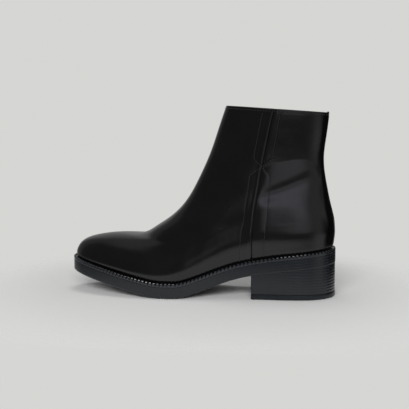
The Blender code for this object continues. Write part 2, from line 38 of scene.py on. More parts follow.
# Shape of the part, repeated from its source
LENGTH = 250.0
GAP = 0.3
OUTSOLE_THICKNESS = 10.4
WALL = 2.0
HEEL_LENGTH = 76.2
TOP_PIECE_THICKNESS = 4.7
TREAD_BACK = 148.0
TREAD_FRONT = 156.0
SoleRow = namedtuple("SoleRow", "along height")
HEEL_AND_WAIST = [
    SoleRow(0.0, 31.2),
    SoleRow(30.0, 27.9),
    SoleRow(60.0, 24.2),
    SoleRow(75.0, 21.6),
    SoleRow(93.0, 17.2),
    SoleRow(118.0, 8.3),
    SoleRow(132.0, 3.2),
    SoleRow(TREAD_BACK, 0.0),
]
TOE_SPRING = [
    SoleRow(TREAD_FRONT, 0.0),
    SoleRow(172.0, 1.7),
    SoleRow(190.0, 5.4),
    SoleRow(210.0, 9.8),
    SoleRow(LENGTH, 18.8),
]
SwayRow = namedtuple("SwayRow", "along swing")
CENTRE_LINE = [
    SwayRow(0.0, 0.0),
    SwayRow(32.0, 0.0),
    SwayRow(93.0, -2.2),
    SwayRow(156.0, 3.5),
    SwayRow(218.0, 6.0),
    SwayRow(LENGTH, 6.5),
]
Ring = namedtuple(
    "Ring",
    "front front_height back back_height wave back_radius heel waist ball toe tip_radius sway",
)
STATION_ANGLES = (40.0, 75.0, 105.0, 140.0)
SOLE_EDGE = Ring(LENGTH, 0.0, 0.0, 0.0, 1.0, 29.0, 30.6, 30.2, 43.6, 30.8, 21.0, 1.0)
FEATHER_RING = Ring(245.5, 0.0, 3.2, 0.0, 1.0, 25.0, 26.8, 26.2, 39.0, 26.8, 17.0, 1.0)
WALL_RINGS = [
    Ring(247.0, 36.8, 1.2, 56.7, 0.97, 26.0, 28.2, 28.0, 40.6, 28.4, 18.5, 1.00),
    Ring(242.0, 45.0, 1.3, 62.8, 0.92, 26.0, 28.1, 28.3, 38.6, 26.4, 15.0, 1.00),
    Ring(224.0, 52.1, 1.8, 68.8, 0.85, 25.5, 27.6, 28.0, 34.5, 24.0, 12.5, 1.00),
    Ring(200.0, 54.4, 2.8, 74.9, 0.76, 24.5, 26.6, 27.0, 31.9, 22.6, 12.5, 0.95),
    Ring(181.0, 54.8, 4.4, 81.5, 0.64, 22.5, 25.1, 26.6, 29.6, 24.4, 18.0, 0.90),
    Ring(169.0, 61.2, 6.3, 89.1, 0.48, 20.0, 22.8, 25.8, 27.2, 22.6, 18.5, 0.80),
    Ring(155.0, 70.7, 8.1, 97.2, 0.33, 17.5, 19.6, 23.8, 24.9, 19.2, 16.0, 0.65),
    Ring(140.0, 85.8, 10.2, 107.3, 0.18, 15.5, 16.8, 21.8, 22.6, 16.8, 14.5, 0.45),
    Ring(128.0, 106.4, 11.7, 119.1, 0.07, 14.3, 15.2, 20.4, 21.2, 15.3, 13.5, 0.25),
    Ring(117.4, 129.7, 12.0, 131.7, 0.00, 14.0, 14.7, 19.9, 20.6, 14.6, 13.0, 0.10),
    Ring(109.6, 152.3, 9.9, 149.5, 0.00, 14.0, 14.8, 20.2, 20.7, 14.3, 12.5, 0.00),
    Ring(102.0, 175.0, 7.8, 168.4, 0.00, 14.0, 15.0, 20.6, 21.0, 14.2, 12.0, 0.00),
]
SEAM_TOP = 57.0
SEAM_FOOT = 75.8
SEAM_BOW = 5.7
WELT_TOP_PLACE = 0.045
WELT_CLEARANCE = 0.35
HEEL_STEP = 0.25
HEEL_FLARE = 0.15
TOP_PIECE_STEP = 0.1
ZIP_FOOT_PLACE = 0.1725
ZIP_END_MARGIN = 0.006
SLOT_HALF_WIDTH = 2.2
SLIDER_PLACE = 0.958

# Steps and samples for slopes and lengths
STEP_ALONG = 0.5
STEP_UP = 0.004
STEP_TURN = 0.001
ROW_STEP = 0.002
OUTLINE_SAMPLES = 800
LENGTH_SAMPLES = 6001
ROW_SAMPLES = 2000

# How finely the leather is divided: columns before, beside and behind each side seam, and rows
FRONT_COLUMNS = 62
SEAM_BAND = 13.0
SEAM_COLUMN = 0.5
SEAM_CORE = 3.0
SEAM_CORE_COLUMN = 0.25
BACK_COLUMNS = 28
BACK_EASE = 1.5
ZIP_BAND_COLUMNS = 23
SLOT_COLUMNS = (1.4, 0.7, 0.0, -0.7, -1.4)
LEATHER_ROWS = 146
ROW_EASE = 1.12
LINING_ROWS = 48
LINING_THINNING = 3

# The leather's edge at the collar: a roll of this radius, and the band turned in below it
COLLAR_ROLL = 1.0
COLLAR_ROLL_PLACE = 0.006
COLLAR_ROLL_TURNS = (20.0, 40.0, 60.0, 80.0)
EDGE_SHARE = "edge_share"
EDGE_MATTNESS = 0.45
TIP_HEIGHT = 0.9
TIP_HALF_WIDTH = 3.5
COLLAR_BAND_PLACE = 0.945
COLLAR_BAND_STEP = 0.006
LINING_TOP_PLACE = COLLAR_BAND_PLACE - 0.001
LEATHER_THICKNESS = 1.1
LINING_LIFT = -1.15

# Stitch rows beside the outer side seam: place up the wall and distance before the seam. The two rows
# change sides where they cross on the seam.
StitchRow = namedtuple("StitchRow", "place offset")
CROSSING_PLACE = 0.696
FRONT_TO_BACK_ROW = [
    StitchRow(0.03, -11.0),
    StitchRow(0.197, -12.0),
    StitchRow(0.427, -11.9),
    StitchRow(0.55, -10.2),
    StitchRow(0.642, -8.2),
    StitchRow(CROSSING_PLACE, 0.0),
    StitchRow(0.745, 9.0),
    StitchRow(0.87, 9.0),
    StitchRow(0.985, 9.4),
]
BACK_TO_FRONT_ROW = [
    StitchRow(0.03, 11.0),
    StitchRow(0.2, 9.6),
    StitchRow(0.35, 8.8),
    StitchRow(0.567, 9.2),
    StitchRow(0.656, 9.6),
    StitchRow(CROSSING_PLACE, 0.0),
    StitchRow(0.735, -8.0),
    StitchRow(0.857, -7.3),
    StitchRow(0.985, -6.4),
]
ROW_ROUNDING = 0.006
WALL_HEIGHT_AT_SEAM = 140.0
WALL_HEIGHT_AT_COLLAR = 165.0

# Threads. A thread's ends are rounded: share of its length, share of its radius.
THREAD_ENDS = [(0.0, 0.35), (0.06, 0.75), (0.2, 1.0), (0.8, 1.0), (0.94, 0.75), (1.0, 0.35)]
STITCH_PITCH = 2.43
STITCH_LENGTH = 0.95
STITCH_RADIUS = 0.3
STITCH_LIFT = 0.1
# Needle holes: dark matt dots sunk between the stitches, painted shade of the holes.
HOLE_LENGTH = 1.1
HOLE_RADIUS = 0.38
HOLE_SINK = 0.2
STITCH_SIDES = 6
STITCH_SPAN = (0.02, 0.983)
SIDE_ROW_STEPS = 240
COLLAR_STITCH_PLACE = 0.9855
COLLAR_STITCH_PITCH = 2.48
COLLAR_STITCH_LIFT = 0.06
ZIP_STITCH_OFFSET = 4.6
ZIP_STITCH_FOOT = ZIP_FOOT_PLACE - 0.012
ZIP_ROW_STEPS = 160
ZIP_FOOT_STEPS = 12
BACK_STITCH_TOP = COLLAR_STITCH_PLACE - 0.004
BACK_ROW_STEPS = 600
BACK_SEAM_PITCH = 1.6
BACK_SEAM_REACH = 0.75
BACK_STITCH_LIFT = 0.05

# Ridges and troughs along the seams, by distance from the seam's line: growing towards the toe on the outer
# side, and to both sides at the zip and the back. A trough has a negative height. SEAM_START is where the
# seams rise out of the welt.
Ridge = namedtuple("Ridge", "centre half_width height")
SEAM_START = (0.0, 0.01)
SIDE_SEAM = [Ridge(1.8, 1.3, 0.6), Ridge(-0.15, 0.36, -0.85)]
SEAM_DIP = 0.35
SEAM_DIP_RUN = 3.0
SEAM_DIP_EASE = (-0.2, 0.6)
UPPER_PIPING = [Ridge(3.6, 0.6, 0.14), Ridge(-2.9, 0.6, 0.14)]
UPPER_PIPING_START = (CROSSING_PLACE - 0.02, CROSSING_PLACE + 0.03)
PANEL_PAD = 0.15
PANEL_FULL_WIDTH = 8.0
PANEL_LEAST_WIDTH = 0.1
SIDE_STITCH_LINE = [Ridge(0.0, 0.6, -0.07)]
ZIP_EDGE_RADIUS = 1.1
ZIP_EDGE_DROP = 0.55
ZIP_EDGES = [Ridge(SLOT_HALF_WIDTH + 1.2, 1.0, 0.22), Ridge(ZIP_STITCH_OFFSET, 0.55, -0.2)]
ZIP_FOOT_EASE = (ZIP_FOOT_PLACE - 0.02, ZIP_FOOT_PLACE)
LOW_ZIP_SEAM = [Ridge(0.0, 0.7, -0.5)]
BACK_SEAM = [Ridge(1.6, 0.9, 0.2), Ridge(0.0, 0.55, -0.35)]
COLLAR_STITCH_LINE = [Ridge(0.0, 0.6, -0.12)]

# The leather turned in at the welt: how far, from which height over the sole, and along which run. A place
# v near the sole is v * (FOOT_RISE - FOOT_FALL * u) high.
TURN_IN = 0.5
TURN_IN_TOP = 7.5
TURN_IN_RUN = 4.0
FOOT_RISE = 260.0
FOOT_FALL = 0.62

# Upper edge of the stiffener in the heel, seen through the leather: place up the wall by distance from
# the heel's back
CounterRow = namedtuple("CounterRow", "along place")
COUNTER_EDGE = [
    CounterRow(0.0, 0.635),
    CounterRow(16.5, 0.660),
    CounterRow(21.0, 0.693),
    CounterRow(28.0, 0.720),
    CounterRow(37.0, 0.727),
    CounterRow(48.0, 0.717),
    CounterRow(59.0, 0.707),
    CounterRow(64.0, 0.693),
    CounterRow(72.0, 0.655),
]
COUNTER_STEP = 1.5
COUNTER_STEP_EASE = 1.2
COUNTER_STEP_RUN = 9.0
COUNTER_STEP_START = (0.3, 0.62)
COUNTER_BACK_SHARE = 0.3
COUNTER_BACK_EASE = (2.0, 16.0)
COUNTER_SEAM_EASE = 6.0
COUNTER_CLEAR_OUTER = -3.0
COUNTER_CLEAR_INNER = 6.0
ReliefRow = namedtuple("ReliefRow", "place height")
COUNTER_LEVEL = [
    ReliefRow(0.05, 0.0),
    ReliefRow(0.115, 0.3),
    ReliefRow(0.15, 0.4),
    ReliefRow(0.20, 0.4),
    ReliefRow(0.26, 0.2),
    ReliefRow(0.32, -0.2),
    ReliefRow(0.38, -0.65),
    ReliefRow(0.46, -0.85),
    ReliefRow(0.58, -0.65),
    ReliefRow(0.72, -0.55),
    ReliefRow(0.84, -0.3),
    ReliefRow(0.95, 0.0),
]
LOW_WALL = [
    ReliefRow(0.0, 0.0),
    ReliefRow(0.05, 0.1),
    ReliefRow(0.08, 0.5),
    ReliefRow(0.115, 0.7),
    ReliefRow(0.15, 0.5),
    ReliefRow(0.20, 0.2),
    ReliefRow(0.25, 0.0),
]
LOW_WALL_START = (2.0, 38.0)
LOW_WALL_END = (130.0, 165.0)

# Soft folds of the leather: a line between two places on the wall, its half width and its height. A
# trough has a negative height. side is OUTER, INNER or 0 for both.
Fold = namedtuple("Fold", "place along end_place end_along half_width height side")
FOLDS = [
    Fold(0.064, 137.0, 0.241, 136.0, 5.0, 0.3, OUTER),
    Fold(0.177, 136.0, 0.209, 117.0, 4.0, 0.2, OUTER),
    Fold(0.592, 22.0, 0.51, 62.0, 7.0, -1.2, OUTER),
    Fold(0.29, 69.0, 0.42, 68.0, 16.0, 1.5, OUTER),
]

# Notched welt: pitch of its teeth and the profile of its section. across runs from the sole's edge, 0,
# to the leather, 1. in_cut and down_cut say how deep a notch goes there.
TOOTH_PITCH = 3.6
TOOTH_COLUMNS = 16
WeltRow = namedtuple("WeltRow", "across lift in_cut down_cut")
WELT_PROFILE = [
    WeltRow(0.08, 0.04, 0.0, 0.0),
    WeltRow(0.02, 0.12, 0.0, 0.0),
    WeltRow(0.00, 0.40, 0.0, 0.0),
    WeltRow(0.00, 1.80, 0.0, 0.0),
    WeltRow(0.00, 1.90, 0.3, 0.0),
    WeltRow(0.00, 2.05, 0.9, 0.1),
    WeltRow(0.01, 2.32, 1.1, 0.4),
    WeltRow(0.04, 2.44, 1.1, 0.55),
    WeltRow(0.14, 2.66, 1.1, 0.85),
    WeltRow(0.28, 2.97, 1.0, 1.3),
    WeltRow(0.42, 3.27, 0.8, 1.75),
    WeltRow(0.50, 3.35, 0.5, 1.95),
    WeltRow(0.58, 3.25, 0.2, 1.95),
    WeltRow(0.68, 2.90, 0.0, 1.6),
    WeltRow(0.80, 2.45, 0.0, 1.1),
    WeltRow(0.90, 2.20, 0.0, 0.7),
]
WELT_INNER_LIFT = 2.2
NOTCH_FLANK = (0.28, 0.37)
NOTCH_REACH = 0.3

# Outsole, heel and top piece: rounded edges as (inset, lift), and the heel's ribs
OUTLINE_STEPS = 180
SOLE_LOW_EDGE = [(1.2, 0.0), (0.6, 0.16), (0.18, 0.55), (0.0, 1.2)]
SOLE_HIGH_EDGE = [(0.0, -0.3), (0.06, -0.08), (0.25, 0.0)]
PLATE_EDGE = [(0.7, 0.0), (0.25, 0.1), (0.0, 0.6)]
SOLE_MERGE = 0.002
HEEL_MERGE = 0.004
SOLE_EDGE_ANGLE = 50.0
HEEL_STEPS = 64
BREAST_STEPS = 12
BREAST_ROUNDING = 0.5
RIB_PITCH = 2.65
RIB_ROWS = 14
RIB_DEPTH = 0.6
RIB_LAND = 0.66
RIB_SIDE_SHARE = 0.06
RIB_FULL = (0.92, 0.96)
RIB_START = (0.45, 0.75)
SOLE_SIDE_ROWS = 52
JOINT_GAP = 0.04
JOINT_EDGE = 0.1
JOINT_EDGE_END = (HEEL_LENGTH - 3.0, HEEL_LENGTH + 3.0)
RIB_BREAST_SHARE = 0.15

# Zip
TOOTH_STEP = 0.8
ZIP_TOOTH = (2.3, 0.72, 1.0)
ZIP_TOOTH_CENTRE = 0.55
ZIP_TOOTH_SINK = 1.15
ZIP_TOOTH_ROUNDING = 0.2
ZIP_LINE_STEPS = 400
SLIDER_LIFT = 0.3
SLIDER_PLATE = 1.4
SLIDER_WIDTH = 6.6
SLIDER_WAIST = 4.8
SLIDER_LENGTH = 9.0
SLIDER_HEAD_CORNER = 1.4
SLIDER_FOOT_CORNER = 0.9
SLIDER_FLANK_HEIGHTS = (0.6, -1.6)
CORE_SIZE = (3.0, 6.5)
CORE_SINK = 0.25
CORE_REACH = 0.4
CORE_ROUNDING = 0.12
BAIL_WIDTH = 1.6
BAIL_LENGTH = 6.0
BAIL_THICKNESS = 0.8
BAIL_SINK = 0.3
BAIL_CORNER = 1.3
BAIL_CHAMFER = 0.2
TAB_THICKNESS = 1.2
TAB_BAR = 1.2
BAR_PLAY = 0.25
TAB_HEAD_WIDTH = 4.4
TAB_HEAD_CORNER = 0.5
TAB_HEAD_STEPS = 4
TAB_WIDTH = 6.0
TAB_LENGTH = 17.0
TAB_SHOULDER = 6.5
TAB_CORNER = 1.6
WINDOW_WIDTH = 2.5
WINDOW_REACH = 4.1
METAL_ROUNDING = 0.25
METAL_MERGE = 0.001
METAL_EDGE_ANGLE = 40.0

# Looks: a material's darkest and lightest colour, and its roughness at the smoothest and the roughest spot.
# Sole and heel are a bluish black. A noise lies mostly within NOISE_SPAN. Twist, ribs and weave are scales of
# waves, and UNDERSIDE is how far down a face has to look to be treaded.
Finish = namedtuple("Finish", "dark light smooth rough")
NOISE_SPAN = (0.3, 0.7)
SOLE_DARK = (0.0014, 0.0028, 0.0046)
SOLE_LIGHT = (0.0028, 0.005, 0.0076)
CALF_FINISH = Finish((0.0007, 0.0007, 0.0008), (0.0036, 0.0036, 0.0038), 0.13, 0.19)
# The needle holes' dark matt dots are painted shade of the holes.
HOLE_SHADE_FINISH = Finish((0.001, 0.001, 0.001), (0.002, 0.002, 0.002), 0.6, 0.75)
LINING_FINISH = Finish((0.011, 0.011, 0.012), (0.022, 0.022, 0.023), 0.6, 0.78)
INSOLE_FINISH = Finish((0.012, 0.012, 0.013), (0.026, 0.025, 0.025), 0.5, 0.66)
# The thread is black; its dark grey colour is a painted sheen that stands in for its highlights.
THREAD_SHEEN_FINISH = Finish((0.034, 0.034, 0.035), (0.055, 0.055, 0.056), 0.42, 0.55)
WELT_FINISH = Finish(SOLE_DARK, SOLE_LIGHT, 0.2, 0.28)
SOLE_FINISH = Finish(SOLE_DARK, SOLE_LIGHT, 0.24, 0.28)
TOP_PIECE_FINISH = Finish(SOLE_DARK, SOLE_LIGHT, 0.34, 0.46)
TAPE_FINISH = Finish((0.008, 0.008, 0.009), (0.024, 0.024, 0.025), 0.85, 0.85)
METAL_FINISH = Finish((0.012, 0.012, 0.013), (0.05, 0.05, 0.053), 0.22, 0.42)
SOLE_POLISH = {"Coat_Weight": 0.3, "Coat_Roughness": 0.2}
THREAD_TWIST = 900.0
TREAD_RIBS = 80.0
TAPE_WEAVE = 420.0
UNDERSIDE = (-0.7, -0.9)
STREAK_STRETCH = (0.12, 0.12, 1.0)

# The photograph's camera: its place in metres and its angles in degrees
CAMERA_PLACE = (0.1009, -0.7932, 0.1716)
CAMERA_DOWN = 6.396
CAMERA_PAN = 7.1
CAMERA_LENS = 75.0
SENSOR_WIDTH = 36.0

# Floor, which fades into the backdrop at its rim and before the boot, and soft panels of light. Lengths in
# metres, power in watts. in_gloss says whether a panel is reflected.
FLOOR_COLOUR = (0.8, 0.8, 0.795, 1.0)
FLOOR_DROP = 0.0003
FLOOR_RADIUS = 1.0
FLOOR_SEGMENTS = 96
FLOOR_RIM = (0.12, 0.27)
FLOOR_FRONT = (-0.22, -0.18)
Panel = namedtuple("Panel", "name place size power in_gloss")
PANELS = [
    Panel("overhead", (0.0, 0.2, 1.8), (0.6, 0.6), 5.5, True),
    Panel("front", (0.0, -1.7, 0.87), (1.2, 0.6), 32.0, False),
]

# What the boot reflects: a grey studio with brighter and dimmer zones. Bearings, in degrees, start at the
# camera's side and grow towards the heel. The camera itself sees an even backdrop.
BACKDROP = (0.672, 0.672, 0.655)
SURROUND = (0.34, 0.34, 0.34)
FILL = (0.2, 0.2, 0.197)
Zone = namedtuple("Zone", "bearing elevation soft colour")
ZONES = [
    Zone((-150.0, -85.0), (-90.0, 62.0), (24.0, 24.0), (0.19, 0.19, 0.19)),
    Zone((-100.0, 4.0), (-90.0, 58.0), (12.0, 12.0), (0.1, 0.1, 0.102)),
    Zone((-95.0, 42.0), (-90.0, -1.0), (36.0, 6.0), (0.11, 0.11, 0.11)),
    Zone((-165.0, -140.0), (-20.0, 66.0), (30.0, 24.0), (0.45, 0.45, 0.445)),
    Zone((145.0, 165.0), (20.0, 66.0), (30.0, 24.0), (0.45, 0.45, 0.445)),
    Zone((3.0, 31.0), (-3.0, 30.0), (20.0, 10.0), (0.57, 0.56, 0.6)),
    Zone((-8.0, 24.0), (24.0, 47.0), (24.0, 20.0), (0.92, 0.9, 1.04)),
    Zone((72.0, 160.0), (-60.0, 14.0), (20.0, 20.0), (0.13, 0.13, 0.13)),
    Zone((100.0, 160.0), (-60.0, 34.0), (16.0, 30.0), (0.01, 0.01, 0.01)),
    Zone((84.0, 160.0), (-60.0, 0.0), (16.0, 16.0), (0.01, 0.01, 0.01)),
    Zone((52.0, 86.0), (-30.0, -11.0), (26.0, 5.0), (0.5, 0.5, 0.5)),
]


def spline(knots, values):
    """Natural cubic spline through the knots. values may hold several columns, places be an array."""
    x = np.asarray(knots, float)
    y = np.asarray(values, float)
    step = np.diff(x)
    last = len(x) - 1
    system = np.eye(last + 1)
    right = np.zeros_like(y)
    for i in range(1, last):
        system[i, i - 1:i + 2] = step[i - 1], 2 * (step[i - 1] + step[i]), step[i]
        right[i] = 6 * ((y[i + 1] - y[i]) / step[i] - (y[i] - y[i - 1]) / step[i - 1])
    bend = np.linalg.solve(system, right)

    def at(place):
        place = np.clip(place, x[0], x[-1])
        i = np.clip(np.searchsorted(x, place) - 1, 0, last - 1)
        before = (place - x[i]) / step[i]
        run = step[i]
        if y.ndim > 1:
            before = np.expand_dims(before, -1)
            run = np.expand_dims(run, -1)
        after = 1 - before
        lift = (after ** 3 - after) * bend[i] + (before ** 3 - before) * bend[i + 1]
        return after * y[i] + before * y[i + 1] + lift * run ** 2 / 6

    return at


def table_spline(rows):
    """Spline of a table with two columns."""
    return spline(*zip(*rows))


def level_ended_spline(rows, level_end):
    """Spline of a sole table, mirrored past the row at level_end so that it arrives there level."""
    neighbour = rows[-2] if level_end == len(rows) - 1 else rows[1]
    end = rows[level_end]
    past_end = SoleRow(2 * end.along - neighbour.along, neighbour.height)
    return table_spline(sorted(rows + [past_end]))


waist_line = level_ended_spline(HEEL_AND_WAIST, len(HEEL_AND_WAIST) - 1)
toe_line = level_ended_spline(TOE_SPRING, 0)
centre_line = table_spline(CENTRE_LINE)


def sole_bottom(u):
    """Height of the outsole's underside: heel seat and waist, flat tread, toe spring."""
    u = np.asarray(u, float)
    front = np.where(u >= TREAD_FRONT, toe_line(u), 0.0)
    return np.where(u <= TREAD_BACK, waist_line(u), front)


def sole_top(u):
    return sole_bottom(u) + OUTSOLE_THICKNESS


def feather_line(u):
    return sole_top(u) + GAP


def on_feather_line(ring):
    heights = {"front_height": feather_line(ring.front), "back_height": feather_line(ring.back)}
    return ring._replace(**heights)


UPPER_RINGS = [on_feather_line(FEATHER_RING), *WALL_RINGS]


def ring_knots():
    """Places of the rings between sole and collar, from 0 to 1, by their mean distance at front and back."""
    places = [0.0]
    for low, high in zip(UPPER_RINGS, UPPER_RINGS[1:]):
        front = math.hypot(high.front - low.front, high.front_height - low.front_height)
        back = math.hypot(high.back - low.back, high.back_height - low.back_height)
        places.append(places[-1] + (front + back) / 2)
    return [place / places[-1] for place in places]


ring_columns = spline(ring_knots(), UPPER_RINGS)


class Loop:
    """One ring of the boot, as points by angle: 180 degrees at the toe end, 0 at the heel."""

    def __init__(self, ring):
        self.ring = ring
        self.half_length = (ring.front - ring.back) / 2
        half_widths = (ring.heel, ring.waist, ring.ball, ring.toe)
        reach = [width / math.sin(math.radians(a)) for width, a in zip(half_widths, STATION_ANGLES)]
        tail = math.sqrt(ring.back_radius * self.half_length)
        nose = math.sqrt(ring.tip_radius * self.half_length)
        angles = [0.0, *STATION_ANGLES, 180.0]
        reach = [tail, *reach, nose]
        # Mirrored past both ends, so that the loop closes smoothly at toe and heel
        angles = [-angles[2], -angles[1], *angles, 360.0 - angles[4], 360.0 - angles[3]]
        reach = [reach[2], reach[1], *reach, reach[4], reach[3]]
        self.reach = spline(np.radians(angles), reach)

    def angle_at(self, u):
        return np.arccos(np.clip(1 - (u - self.ring.back) / self.half_length, -1, 1))

    def height(self, u):
        """Feather line near the sole, fading to the straight slope between the ring's two ends."""
        ring = self.ring
        share = (u - ring.back) / (ring.front - ring.back)
        back = ring.back_height - ring.wave * feather_line(ring.back)
        front = ring.front_height - ring.wave * feather_line(ring.front)
        return back + (front - back) * share + ring.wave * feather_line(u)

    def points(self, angle, side):
        u = self.ring.back + self.half_length * (1 - np.cos(angle))
        y = self.ring.sway * centre_line(u) + side * np.sin(angle) * self.reach(angle)
        return np.stack([u, y, self.height(u)], axis=-1)


def upper_loop(v):
    return Loop(Ring(*ring_columns(v)))


def seam_along(v):
    """Place of both side seams: a bowed line from the sole to the collar."""
    return SEAM_FOOT + (SEAM_TOP - SEAM_FOOT) * v + SEAM_BOW * 4 * v * (1 - v)


def upper_point(v, u, side):
    loop = upper_loop(v)
    return loop.points(loop.angle_at(u), side)


def unit(vectors):
    return vectors / np.linalg.norm(vectors, axis=-1, keepdims=True)


def upper_normal(v, u, side):
    """Outward direction of the upper's surface, from small steps along and up the wall."""
    along = upper_point(v, u + STEP_ALONG, side) - upper_point(v, u - STEP_ALONG, side)
    top = min(v + STEP_UP, 1.0)
    up = upper_point(top, u, side) - upper_point(top - 2 * STEP_UP, u, side)
    return unit(np.cross(up, along) * side)


def turned_points(loop, turn):
    """Points of a loop by turn: 0 at the toe, growing along the outer side to the heel, then back inside."""
    side = np.where(turn < math.pi, OUTER, INNER)
    return loop.points(np.abs(math.pi - turn), side)


def drawn_in(loop, turn, inset):
    """Outline of a loop seen from above, drawn in by inset. Heights are left to the caller."""
    places = turned_points(loop, turn)[..., :2]
    ahead = turned_points(loop, np.mod(turn + STEP_TURN, 2 * math.pi))[..., :2]
    behind = turned_points(loop, np.mod(turn - STEP_TURN, 2 * math.pi))[..., :2]
    run = unit(ahead - behind)
    inward = np.stack([run[..., 1], -run[..., 0]], axis=-1)
    return places + inward * np.expand_dims(inset, -1)


def outline_middle():
    """Middle of the sole's width, which is y = 0 in the boot's frame."""
    edge = turned_points(Loop(SOLE_EDGE), np.linspace(0, 2 * math.pi, OUTLINE_SAMPLES))
    return (edge[:, 1].min() + edge[:, 1].max()) / 2


MIDDLE = outline_middle()


def to_frame(places):
    """From (u, y, z) in millimetres to the boot's frame in metres."""
    places = np.asarray(places, float)
    x = LENGTH / 2 - places[..., 0]
    return np.stack([x, places[..., 1] - MIDDLE, places[..., 2]], axis=-1) * MM


def smooth_step(value, low, high):
    """0 up to low, 1 from high, with a soft curve between."""
    share = np.clip((value - low) / (high - low), 0.0, 1.0)
    return share * share * (3 - 2 * share)


def hump(distance, half_width):
    """A soft bump of height 1."""
    return np.exp(-(distance / half_width) ** 2)


def ridges(distance, rows):
    """Height of some ridges side by side."""
    return sum(row.height * hump(distance - row.centre, row.half_width) for row in rows)


def run_along(path):
    """Distance along a path of places, from its start."""
    steps = np.linalg.norm(np.diff(path, axis=0), axis=1)
    return np.concatenate([[0.0], np.cumsum(steps)])


def at_marks(values, run, marks):
    """Values along a path, read at marks of its run."""
    return np.stack([np.interp(marks, run, column) for column in values.T], axis=-1)


# Meshes


def new_object(name, data):
    """An object in the scene."""
    made = bpy.data.objects.new(name, data)
    bpy.context.scene.collection.objects.link(made)
    return made


def used_corners(faces):
    return sorted({corner for face in faces for corner in face})


def add_piece(name, places, faces, material, slot, node=None):
    """A named piece of the boot from places in (u, y, z) and faces. Places that no face uses are left out."""
    points = to_frame(places).reshape(-1, 3)
    used = used_corners(faces)
    order = {old: new for new, old in enumerate(used)}
    mesh = bpy.data.meshes.new(name)
    mesh.from_pydata(points[used].tolist(), [], [[order[corner] for corner in face] for face in faces])
    mesh.validate()
    mesh.shade_smooth()
    return add_mesh(name, mesh, material, "boot", node)


def add_shape(name, shape, material, body, node):
    """A named piece of metal from a bmesh in the boot's frame, riding on a body."""
    mesh = bpy.data.meshes.new(name)
    bmesh.ops.recalc_face_normals(shape, faces=shape.faces)
    shape.to_mesh(mesh)
    shape.free()
    mesh.shade_smooth()
    mesh.set_sharp_from_angle(angle=math.radians(METAL_EDGE_ANGLE))
    return add_mesh(name, mesh, material, body, node)


def add_mesh(name, mesh, material, body, node):
    """A mesh as a piece that rides on a body and takes a node's place where it is given one."""
    mesh.materials.append(material)
    piece = new_object(name, mesh)
    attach(piece, body)
    if node:
        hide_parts(node)
    return piece


def close_mesh(piece, distance):
    """Merges points closer than distance and turns the faces outward."""
    shape = bmesh.new()
    shape.from_mesh(piece.data)
    bmesh.ops.remove_doubles(shape, verts=shape.verts, dist=distance * MM)
    bmesh.ops.dissolve_degenerate(shape, edges=shape.edges, dist=distance * MM)
    bmesh.ops.recalc_face_normals(shape, faces=shape.faces)
    shape.to_mesh(piece.data)
    shape.free()


def grid_faces(rows, columns, closed_rows=False, left_out=None):
    """Quads between neighbouring rows of a grid that closes round its columns."""
    faces = []
    for row in range(rows if closed_rows else rows - 1):
        for column in range(columns):
            if left_out is not None and left_out[row, column]:
                continue
            after = (column + 1) % columns
            above = (row + 1) % rows
            faces.append((
                row * columns + column,
                row * columns + after,
                above * columns + after,
                above * columns + column,
            ))
    return faces


def shell_faces(faces, count):
    """A closed shell: these faces outside, the same faces turned over inside, and their rims joined. The
    inner points follow the outer ones, count places later."""
    edges = set()
    for face in faces:
        edges.update(zip(face, face[1:] + face[:1]))
    shell = list(faces)
    shell += [tuple(corner + count for corner in reversed(face)) for face in faces]
    shell += [(b, a, a + count, b + count) for a, b in edges if (b, a) not in edges]
    return shell


def plate_faces(first, count, flip):
    """Cap of a loop whose two sides are paired, as strips from end to end."""
    half = count // 2
    faces = [(first, first + 1, first + count - 1)]
    for i in range(1, half - 1):
        faces.append((first + i, first + i + 1, first + count - i - 1, first + count - i))
    faces.append((first + half - 1, first + half, first + half + 1))
    return [face[::-1] for face in faces] if flip else faces


# The leather


